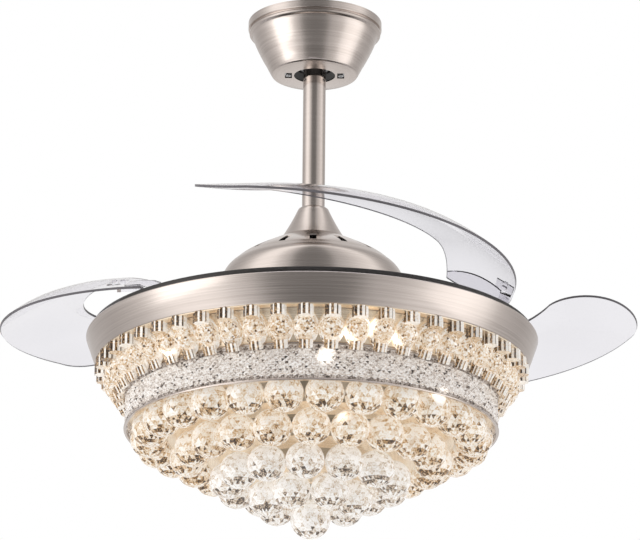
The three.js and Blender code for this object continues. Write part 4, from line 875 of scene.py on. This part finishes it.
hub_outline = [(HUB_BORE, SPIGOT_END), (SPIGOT_RADIUS, SPIGOT_END), (SPIGOT_RADIUS, HUB_FLOOR),
               (HUB_RADIUS - HUB_CHAMFER, HUB_FLOOR), (HUB_RADIUS, HUB_FLOOR + HUB_CHAMFER),
               (HUB_RADIUS, HUB_TOP - HUB_ROUND), (HUB_RADIUS - HUB_ROUND, HUB_TOP), (HUB_BORE, HUB_TOP)]
for number in range(BLADES):
    body = f"folding_blade_{number + 1}"
    hub = spun(f"arm_hub_{number + 1}", hub_outline, sides=48)
    hub.location = opened(Vector((0, -PIVOT_RADIUS, 0)), number)
    bpy.ops.object.transform_apply(location=True)
    soften(hub)
    dress(hub, body, black_paint_and_shade, "black_paint", f"blade_arm_{number + 1}")
    shelf = clear_sheet(f"arm_shelf_{number + 1}", number, SHELF_ROWS, shelf_point, SHELF_SHEET)
    dress(shelf, body, blade_plastic, "blade_plastic")
print("arms", BLADES)

# %% [markdown]
# ## Crystal carrier
# A gold cone stands behind the crystal bricks. What shows of it is the amber in the gaps between crystals, so a
# plain turned band with two lips is enough.

# %% Crystal carrier
carrier_low, carrier_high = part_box("crystal_carrier")
CARRIER_WALL = 1.5 * MM
CARRIER_LIPS = (10 * MM, 13 * MM)
carrier_top = carrier_high.x
carrier_foot = 207 * MM
carrier_outline = [(carrier_top - CARRIER_LIPS[0], carrier_high.z), (carrier_top, carrier_high.z),
                   (carrier_foot, carrier_low.z), (carrier_foot - CARRIER_LIPS[1], carrier_low.z)]
carrier = spun("crystal_cone", walled(carrier_outline, -CARRIER_WALL))
soften(carrier)
dress(carrier, "hanging_frame", champagne, "champagne", "crystal_carrier")
print("carrier", carrier_top, carrier_foot)

# %% [markdown]
# ## Crystal bricks
# Fifty bricks stand round the carrier. A brick is a ribbed crown, a round faceted jewel and a ribbed foot, with
# pale shoulders behind them, cast as one. The crown and foot are cylinders with every second edge drawn in, and
# the jewel is a flattened sphere whose rings are turned by half a facet in turn, which makes the zigzag of
# triangles that cutters use. The four are fused once, and each copy is turned to its place.

# %% One crystal brick
jewel_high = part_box("jewel_ring")[1]
BRICKS = 50
BRICK_REACH = jewel_high.x
BRICK_LEAN = math.radians(27)
FLUTE_DRAW = 0.84


def fluted_barrel(name, radius, height, middle, squeeze, flutes=9):
    """A barrel about Z with drawn-in flutes, squeezed across the brick's depth."""
    clear_selection()
    bpy.ops.mesh.primitive_cylinder_add(vertices=2 * flutes, radius=radius, depth=height, location=middle)
    barrel = bpy.context.object
    barrel.name = name
    bpy.ops.object.mode_set(mode="EDIT")
    bpy.ops.mesh.select_all(action="DESELECT")
    mesh = bmesh.from_edit_mesh(barrel.data)
    for corner in mesh.verts:
        place = round(math.atan2(corner.co.x, corner.co.y) / (FULL_TURN / (2 * flutes)))
        corner.select_set(place % 2 == 1)
    bmesh.update_edit_mesh(barrel.data)
    bpy.ops.transform.resize(value=(FLUTE_DRAW, FLUTE_DRAW, 1), center_override=middle)
    bpy.ops.mesh.select_all(action="SELECT")
    bpy.ops.transform.resize(value=(1, squeeze, 1), center_override=middle)
    bpy.ops.object.mode_set(mode="OBJECT")
    bpy.ops.object.transform_apply(location=True)
    return barrel


def cut_stone(name, half_sizes, middle, segments, rings):
    """A sphere whose every second ring is turned by half a facet, cut into triangles and stretched to size."""
    clear_selection()
    bpy.ops.mesh.primitive_uv_sphere_add(segments=segments, ring_count=rings, radius=1, location=(0, 0, 0))
    stone = bpy.context.object
    stone.name = name
    heights = sorted({round(corner.co.z, 4) for corner in stone.data.vertices})[1:-1]
    for height in heights[::2]:
        bpy.ops.object.mode_set(mode="EDIT")
        bpy.ops.mesh.select_all(action="DESELECT")
        mesh = bmesh.from_edit_mesh(stone.data)
        for corner in mesh.verts:
            corner.select_set(abs(corner.co.z - height) < 0.001)
        bmesh.update_edit_mesh(stone.data)
        bpy.ops.transform.rotate(value=math.pi / segments, orient_axis="Z", center_override=(0, 0, 0))
        bpy.ops.object.mode_set(mode="OBJECT")
    bpy.ops.object.mode_set(mode="EDIT")
    bpy.ops.mesh.select_all(action="SELECT")
    bpy.ops.mesh.quads_convert_to_tris(quad_method="SHORTEST_DIAGONAL")
    bpy.ops.transform.resize(value=half_sizes, center_override=(0, 0, 0))
    bpy.ops.object.mode_set(mode="OBJECT")
    stone.location = middle
    bpy.ops.object.transform_apply(location=True)
    return stone


def front(radius, depth):
    """A place at the front, at a radius and at a depth below the bricks' top."""
    return Vector((0, -radius, jewel_high.z - depth))


def leaned(part, middle):
    """Leans a part back with the cone and sets it in place."""
    only(part)
    part.matrix_world = Matrix.Translation(middle) @ Matrix.Rotation(BRICK_LEAN, 4, "X")
    bpy.ops.object.transform_apply(location=True, rotation=True, scale=True)


CROWN_RADIUS = 8.8 * MM
CROWN_HEIGHT = 11.5 * MM
JEWEL_HALVES = (12.6 * MM, 8.4 * MM, 11.2 * MM)
SHOULDER_HALVES = (14.0 * MM, 4.0 * MM, 19 * MM)
FOOT_RADIUS = 7.6 * MM
FOOT_HEIGHT = 9.6 * MM
FOOT_SQUEEZE = 0.7
crown_middle = front(BRICK_REACH - CROWN_RADIUS, 0.5 * CROWN_HEIGHT + 0.2 * MM)
jewel_middle = front(221 * MM, 20.5 * MM)
foot_middle = front(213 * MM, 36.4 * MM)
shoulder_middle = front(216 * MM, 20 * MM)
brick_master = cut_stone("brick", JEWEL_HALVES, (0, 0, 0), 18, 12)
leaned(brick_master, jewel_middle)
crown = fluted_barrel("crown", CROWN_RADIUS, CROWN_HEIGHT, crown_middle, 1.0)
foot = fluted_barrel("foot", FOOT_RADIUS, FOOT_HEIGHT, (0, 0, 0), FOOT_SQUEEZE)
leaned(foot, foot_middle)
shoulders = cut_stone("shoulders", SHOULDER_HALVES, (0, 0, 0), 14, 8)
leaned(shoulders, shoulder_middle)
for part in (shoulders, crown, foot):
    apply_modifier(brick_master, "BOOLEAN", operation="UNION", object=part, solver="EXACT")
    bpy.data.objects.remove(part)
print("brick triangles", sum(len(face.vertices) - 2 for face in brick_master.data.polygons))

# %% Tones of a brick
FOOT_REACH = 4.6 * MM
upright = Matrix.Rotation(-BRICK_LEAN, 3, "X")


def rib_side(normal, away):
    """Which way a rib's face looks, round its barrel: positive one way, negative the other."""
    return normal.x * away.y - normal.y * away.x


def brick_painted_light(face, dice):
    """Painted light and shade: each rib is painted white on one side and dark on the other, the jewel's front
    gets mixed painted reflections, and its back and the shoulders are painted pale.
    """
    middle = face.center
    if (middle - crown_middle).length < 1.1 * CROWN_RADIUS and middle.z > crown_middle.z - 0.48 * CROWN_HEIGHT:
        if abs(face.normal.z) > 0.5:
            return dice.uniform(0.5, 0.7)
        light = rib_side(face.normal, middle - crown_middle) > 0
        return dice.uniform(0.85, 1.0) if light else dice.uniform(0.0, 0.16)
    level = upright @ (middle - foot_middle)
    if level.z < FOOT_REACH and abs((upright @ face.normal).z) < 0.5:
        light = rib_side(upright @ face.normal, level) > 0
        return dice.uniform(0.8, 1.0) if light else dice.uniform(0.08, 0.28)
    if (upright @ (middle - jewel_middle)).y < 0:
        return pick(dice, (0.07, 0.08, 0.2), (0.33, 0.38, 0.5), (0.38, 0.52, 0.7), (0.22, 0.8, 1.0))
    return pick(dice, (0.25, 0.45, 0.6), (0.75, 0.65, 0.95))


print("brick rule ready")

# %% Fifty bricks round the cone
BRICK_TURN = math.radians(-1.75)


def placed_copy(master, name, rule, seed, place):
    """A copy of a crystal with its own mesh and its own tones, moved to its place."""
    crystal = master.copy()
    crystal.data = master.data.copy()
    crystal.name = name
    bpy.context.collection.objects.link(crystal)
    paint_facets(crystal, rule, seed)
    only(crystal)
    crystal.matrix_world = place
    bpy.ops.object.transform_apply(location=True, rotation=True, scale=True)
    return crystal


for number in range(BRICKS):
    place = Matrix.Rotation(FULL_TURN * number / BRICKS + BRICK_TURN, 4, "Z")
    brick = placed_copy(brick_master, f"crystal_brick_{number + 1}", brick_painted_light, number, place)
    if number:
        dress(brick, "hanging_frame", warm_crystal, "crystal")
    else:
        dress(brick, "hanging_frame", warm_crystal, "crystal", "jewel_ring")
bpy.data.objects.remove(brick_master)
print("bricks", BRICKS)

# %% [markdown]
# ## Patterned band
# Below the bricks runs a moulded band with a fine lozenge mesh, a row of beads near each edge and two thin
# metal rims. A bump pattern would look flat at the band's outline, so the facets are real. A turned strip is
# cut into small squares. Poking each square adds a middle corner, and dissolving the old edges leaves
# lozenges. A second poke raises a point on each. The beads are the same strip with one row of squares, poked
# higher.

# %% Patterned band
band_low, band_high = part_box("pattern_band")
BAND_COLUMNS = 180
BAND_ROWS = 5
BEAD_ROW = 5 * MM
LOZENGE_POINT = 1.3 * MM
BEAD_POINT = 1.9 * MM
BAND_WALL = 2.2 * MM
BEAD_WALL = 1.6 * MM
BAND_SETBACK = 1.4 * MM
BEAD_SETBACK = 0.5 * MM
band_radius = band_high.x - BAND_SETBACK


def poked_strip(name, radius, bottom, step, rows, point, lozenges):
    """A strip of squares round the axis, turned into lozenges if asked, with a point raised on each face."""
    clear_selection()
    bpy.ops.mesh.primitive_circle_add(vertices=BAND_COLUMNS, radius=radius, location=(0, 0, bottom))
    strip = bpy.context.object
    strip.name = name
    bpy.ops.object.transform_apply(location=True)
    bpy.ops.object.mode_set(mode="EDIT")
    bpy.ops.mesh.select_all(action="SELECT")
    for _ in range(rows):
        bpy.ops.mesh.extrude_region_move(TRANSFORM_OT_translate={"value": (0, 0, step)})
    bpy.ops.mesh.select_all(action="SELECT")
    bpy.ops.mesh.normals_make_consistent(inside=False)
    if lozenges:
        bpy.ops.mesh.poke(offset=0)
        bpy.ops.mesh.select_mode(type="EDGE")
        mesh = bmesh.from_edit_mesh(strip.data)
        for edge in mesh.edges:
            tall = abs(edge.verts[0].co.z - edge.verts[1].co.z) / step
            edge.select_set(len(edge.link_faces) == 2 and (tall < 0.01 or tall > 0.9))
        bmesh.update_edit_mesh(strip.data)
        bpy.ops.mesh.dissolve_edges(use_verts=False)
        bpy.ops.mesh.select_mode(type="FACE")
    bpy.ops.mesh.select_all(action="SELECT")
    bpy.ops.mesh.poke(offset=point)
    bpy.ops.mesh.select_mode(type="VERT")
    bpy.ops.object.mode_set(mode="OBJECT")
    return strip


def lozenge_painted_light(face, dice):
    """Painted light and reflection: the upper sides of the points are painted pale where they catch the light,
    the lower ones with the tray they show, and a few are dark.
    """
    if face.normal.z > 0:
        return pick(dice, (0.06, 0.1, 0.3), (0.94, 0.66, 1.0))
    return pick(dice, (0.1, 0.03, 0.2), (0.5, 0.4, 0.58), (0.4, 0.6, 0.8))


def bead_painted_light(face, dice):
    """Painted light and shade: a bead is painted bright above and dark below."""
    return dice.uniform(0.75, 1.0) if face.normal.z > 0 else dice.uniform(0.15, 0.5)


row_step = (band_high.z - band_low.z - 2 * BEAD_ROW) / BAND_ROWS
band = poked_strip("lozenge_band", band_radius, band_low.z + BEAD_ROW, row_step, BAND_ROWS, LOZENGE_POINT, True)
apply_modifier(band, "SOLIDIFY", thickness=BAND_WALL, offset=-1)
paint_facets(band, lozenge_painted_light, 7)
dress(band, "hanging_frame", band_crystal, "crystal", "pattern_band")
for row, bottom in enumerate((band_low.z, band_high.z - BEAD_ROW)):
    beads = poked_strip(f"bead_row_{row + 1}", band_radius - BEAD_SETBACK, bottom, BEAD_ROW, 1, BEAD_POINT,
                        False)
    apply_modifier(beads, "SOLIDIFY", thickness=BEAD_WALL, offset=-1)
    paint_facets(beads, bead_painted_light, 8 + row)
    dress(beads, "hanging_frame", band_crystal, "crystal")
print("band faces", len(band.data.polygons))

# %% Band rims
RIM_DEPTH = 3 * MM
RIM_ROUND = 0.4 * MM
for name in ("band_top_rim", "band_bottom_rim"):
    low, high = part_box(name)
    radius = high.x
    rim_outline = [(radius - RIM_DEPTH, low.z), (radius - RIM_ROUND, low.z), (radius, (low.z + high.z) / 2),
                   (radius - RIM_ROUND, high.z), (radius - RIM_DEPTH, high.z)]
    rim = spun(f"{name}_strip", rim_outline)
    soften(rim)
    dress(rim, "hanging_frame", nickel, "nickel", name)
print("rims made")

# %% [markdown]
# ## Crystal balls
# Four gold trays step inwards below the band. Each carries one ring of balls, close together, and a last ball
# hangs from the middle. A ball is cut like the jewels, in zigzag rings of facets, and drilled at the top for
# the pin that holds it. It could be cut anew for each place, but it is cut once and copied, and each copy is
# turned about its own axis, as hung balls are, by an angle that never repeats within a ring.

# %% One crystal ball
BALL_CUT = 20.5 * MM
BALL_GIRTH = 21.2 * MM
BALL_SEGMENTS = 20
BALL_RINGS = 13
DRILL_RADIUS = 1.3 * MM
DRILL_LENGTH = 8 * MM
ball_master = cut_stone("ball", (BALL_GIRTH, BALL_GIRTH, BALL_CUT), (0, 0, 0), BALL_SEGMENTS, BALL_RINGS)
clear_selection()
bpy.ops.mesh.primitive_cylinder_add(vertices=10, radius=DRILL_RADIUS, depth=DRILL_LENGTH,
                                    location=(0, 0, BALL_CUT))
cut_away(ball_master, bpy.context.object)
print("ball triangles", sum(len(face.vertices) - 2 for face in ball_master.data.polygons))

# %% Trays and their rings of balls
TRAY_WALL = 1.5 * MM
TRAY_LIMIT = 199.7 * MM
BALL_SINK = 0.4 * MM
TIER_RINGS = (178 * MM, 134 * MM, 90 * MM, 48 * MM)
TIER_BALLS = (26, 20, 13, 7)
TIER_INNERS = (156 * MM, 112 * MM, 69 * MM, 6 * MM)
TIER_PHASES = (0.32, 0.0, -0.15, 0.5)
GOLDEN_TURN = math.radians(137.5)
tiers = zip(TIER_RINGS, TIER_BALLS, TIER_INNERS, TIER_PHASES)
for tier, (ring_radius, count, inner, phase) in enumerate(tiers):
    node = f"crystal_tier_{tier + 1}"
    low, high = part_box(node)
    ball_height = low.z + BALL_CUT
    floor = ball_height + BALL_CUT - BALL_SINK
    outer = min(high.x, TRAY_LIMIT)
    tray_outline = [(inner, floor), (outer, floor), (outer, high.z), (outer - TRAY_WALL, high.z),
                    (outer - TRAY_WALL, floor + TRAY_WALL), (inner, floor + TRAY_WALL)]
    tray = spun(f"gold_tray_{tier + 1}", tray_outline, sides=96)
    soften(tray)
    dress(tray, "hanging_frame", champagne, "champagne", node)
    for number in range(count):
        angle = FULL_TURN * (number + phase) / count
        middle = (ring_radius * math.sin(angle), -ring_radius * math.cos(angle), ball_height)
        place = Matrix.Translation(middle) @ Matrix.Rotation(GOLDEN_TURN * number, 4, "Z")
        ball = placed_copy(ball_master, f"crystal_ball_{tier + 1}_{number + 1}", ball_painted_reflection,
                           100 * tier + number, place)
        dress(ball, "hanging_frame", warm_crystal if tier < 2 else cool_crystal, "crystal")
    print(node, "balls", count, "at", ball_height)

# %% Bottom ball
bottom_low, bottom_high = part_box("bottom_crystal")
DROP_RADIUS = (bottom_high.x - bottom_low.x) / 2
drop_centre = bottom_low.z + DROP_RADIUS
DROP_SEED = 500
STEM_BORE = 0.2 * MM
STEM_RADIUS = 1.6 * MM
drop = cut_stone("bottom_ball", (DROP_RADIUS, DROP_RADIUS, DROP_RADIUS), (0, 0, drop_centre), BALL_SEGMENTS,
                 BALL_RINGS)
paint_facets(drop, ball_painted_reflection, DROP_SEED)
dress(drop, "hanging_frame", cool_crystal, "crystal", "bottom_crystal")
stem_end = drop_centre + 0.96 * DROP_RADIUS
stem_outline = [(STEM_BORE, bottom_high.z), (STEM_RADIUS, bottom_high.z), (STEM_RADIUS, stem_end),
                (STEM_BORE, stem_end)]
stem = spun("bottom_ball_stem", stem_outline, sides=24)
dress(stem, "hanging_frame", zinc, "zinc_steel")
bpy.data.objects.remove(ball_master)
print("bottom ball at", drop_centre)

# %% [markdown]
# ## The frame's own pieces
# The gears, springs, pins and clamps under the blades, the motor, the bracket and the light's own parts have
# their right shapes in the frame, so they stay and only get their finishes. They could be modelled again, but
# most of them are hidden. The clamps show through the blades and share their clear plastic.

# %% Finish the frame's own pieces
FINISH_OF_SLOT = {"nickel": nickel, "zinc_steel": zinc, "black_paint": black_paint_and_shade, "lamination": laminations,
                  "copper": copper, "magnet": magnet, "white_plastic": white_plastic, "acetal": acetal,
                  "champagne": champagne, "crystal": warm_crystal, "blade_plastic": blade_plastic}
slot_of_node = {part["node"]: part["material_slot"] for part in frame["record"]["subparts"]}
kept = 0
for name, node in nodes.items():
    if node.hide_render:  # a piece above replaces it
        continue
    finish = blade_plastic if name.startswith("blade_clamp") else FINISH_OF_SLOT[slot_of_node[name]]
    if node.material_slots:
        for each in node.material_slots:
            each.material = finish
    else:
        node.data.materials.append(finish)
    kept += 1
print("frame pieces kept", kept)

# %% [markdown]
# ## Camera
# The photograph was taken from below and in front. A camera can be placed by eye, but its distance, height and
# lens are better found by matching the ellipses of the ring, canopy and band. It has a slight roll.

# %% Camera
CAMERA_DISTANCE = 4.36416
CAMERA_HEIGHT = HEAD - 1.35931
CAMERA_PITCH = 0.319277
CAMERA_YAW = 0.0018449
CAMERA_ROLL = 0.0088238
LENS_SHARE = 4134.03 / 640
SENSOR = 36
VIEW_END = 50
camera_data = bpy.data.cameras.new("camera")
camera_data.sensor_width = SENSOR
camera_data.lens = SENSOR * LENS_SHARE
camera_data.clip_end = VIEW_END
camera = bpy.data.objects.new("camera", camera_data)
bpy.context.scene.collection.objects.link(camera)
look = (Matrix.Rotation(-CAMERA_YAW, 4, "Z") @ Matrix.Rotation(math.pi / 2 + CAMERA_PITCH, 4, "X")
        @ Matrix.Rotation(CAMERA_ROLL, 4, "Z"))
camera.matrix_world = Matrix.Translation((0, -CAMERA_DISTANCE, CAMERA_HEIGHT)) @ look
bpy.context.scene.camera = camera
print("camera at", tuple(camera.location), "lens", camera_data.lens)

# %% [markdown]
# ## Light, floor and background
# Bright walls to the left and right and a darker one behind the camera give the nickel its light and dark
# bands. Lamps could do that, but they would add light to the crystals, so the world does it, by compass
# direction. The camera itself sees white, and so does anything clear. A pale floor lies well below. It isn't
# mirrored in the nickel, because it would wash out the bands. Two soft lamps, one at each bright wall, shape
# the crystals.

# %% World
world = bpy.data.worlds.new("studio")
bpy.context.scene.world = world
world.use_nodes = True
# The compass direction of a reflection, from -180 at the back through 0 at the camera to 180, and its light
ROOM = [(-180, 1.05), (-140, 0.72), (-126, 0.66), (-106, 0.80), (-90, 1.2), (-80, 1.8), (-53, 1.8), (-45, 1.15),
        (-28.5, 0.84), (-25.5, 0.30), (0, 0.27), (25.5, 0.30), (28.5, 0.78), (44, 0.84), (62, 1.2), (72, 1.3),
        (86, 1.6), (94, 1.25), (104, 0.75), (128, 0.62), (140, 0.72), (180, 1.05)]
ROOM_TINT = (1, 0.975, 0.96)
ROOM_STRENGTH = 0.85
way = add_node(world, "TexCoord").outputs["Generated"]
parts = add_node(world, "SeparateXYZ", {"Vector": way})
ahead = math_node(world, "MULTIPLY", parts.outputs["Y"], -1.0)
compass = math_node(world, "ARCTAN2", parts.outputs["X"], ahead)
turned = add_node(world, "MapRange", {"Value": compass, "From Min": -math.pi, "From Max": math.pi})
walls = ramp(world, turned.outputs["Result"],
             [((angle + 180) / 360, tuple(tone * tint for tint in ROOM_TINT)) for angle, tone in ROOM])
rays = add_node(world, "LightPath")
clear_rays = math_node(world, "MAXIMUM", rays.outputs["Is Camera Ray"], rays.outputs["Is Transmission Ray"])
studio = add_node(world, "Background", {"Color": walls, "Strength": ROOM_STRENGTH})
white = add_node(world, "Background", {"Color": (1, 1, 1, 1), "Strength": 1.0})
chosen = add_node(world, "MixShader", {0: clear_rays, 1: studio.outputs[0], 2: white.outputs[0]})
world.node_tree.links.new(chosen.outputs[0], world.node_tree.nodes["World Output"].inputs["Surface"])
print("world ready")

# %% Floor
FLOOR = -2.4
FLOOR_SIZE = 6
clear_selection()
bpy.ops.mesh.primitive_plane_add(size=FLOOR_SIZE, location=(0, 0, FLOOR))
floor = bpy.context.object
floor.name = "floor"
floor_finish = new_finish("pale_floor", roughness=0.8)
floor_place = add_node(floor_finish, "TexCoord").outputs["Object"]
floor_mottle = add_node(floor_finish, "TexNoise", {"Vector": floor_place, "Scale": 3.0}).outputs["Fac"]
join(floor_finish, ramp(floor_finish, floor_mottle, [(0.3, (0.84, 0.84, 0.84)), (0.7, (0.88, 0.88, 0.88))]),
     "Base Color")
floor.data.materials.append(floor_finish)
floor.visible_glossy = False
print("floor at", FLOOR)

# %% Lamps
LAMP_SIZE = 2.2


def soft_lamp(name, place, power, colour):
    """A wide lamp at a place, in metres, aimed at the ring."""
    lamp_data = bpy.data.lights.new(name, "AREA")
    lamp_data.size = LAMP_SIZE
    lamp_data.energy = power
    lamp_data.color = colour
    lamp = bpy.data.objects.new(name, lamp_data)
    bpy.context.scene.collection.objects.link(lamp)
    lamp.location = place
    lamp.rotation_euler = (Vector((0, 0, HEAD)) - Vector(place)).to_track_quat("-Z", "Y").to_euler()


soft_lamp("key", (-2.75, -1.35, -0.5), 12, (1.0, 0.99, 0.97))
soft_lamp("fill", (2.9, -0.5, -0.8), 8, (1.0, 0.98, 0.96))
bpy.context.scene.view_settings.view_transform = "Standard"
print("lamps ready")
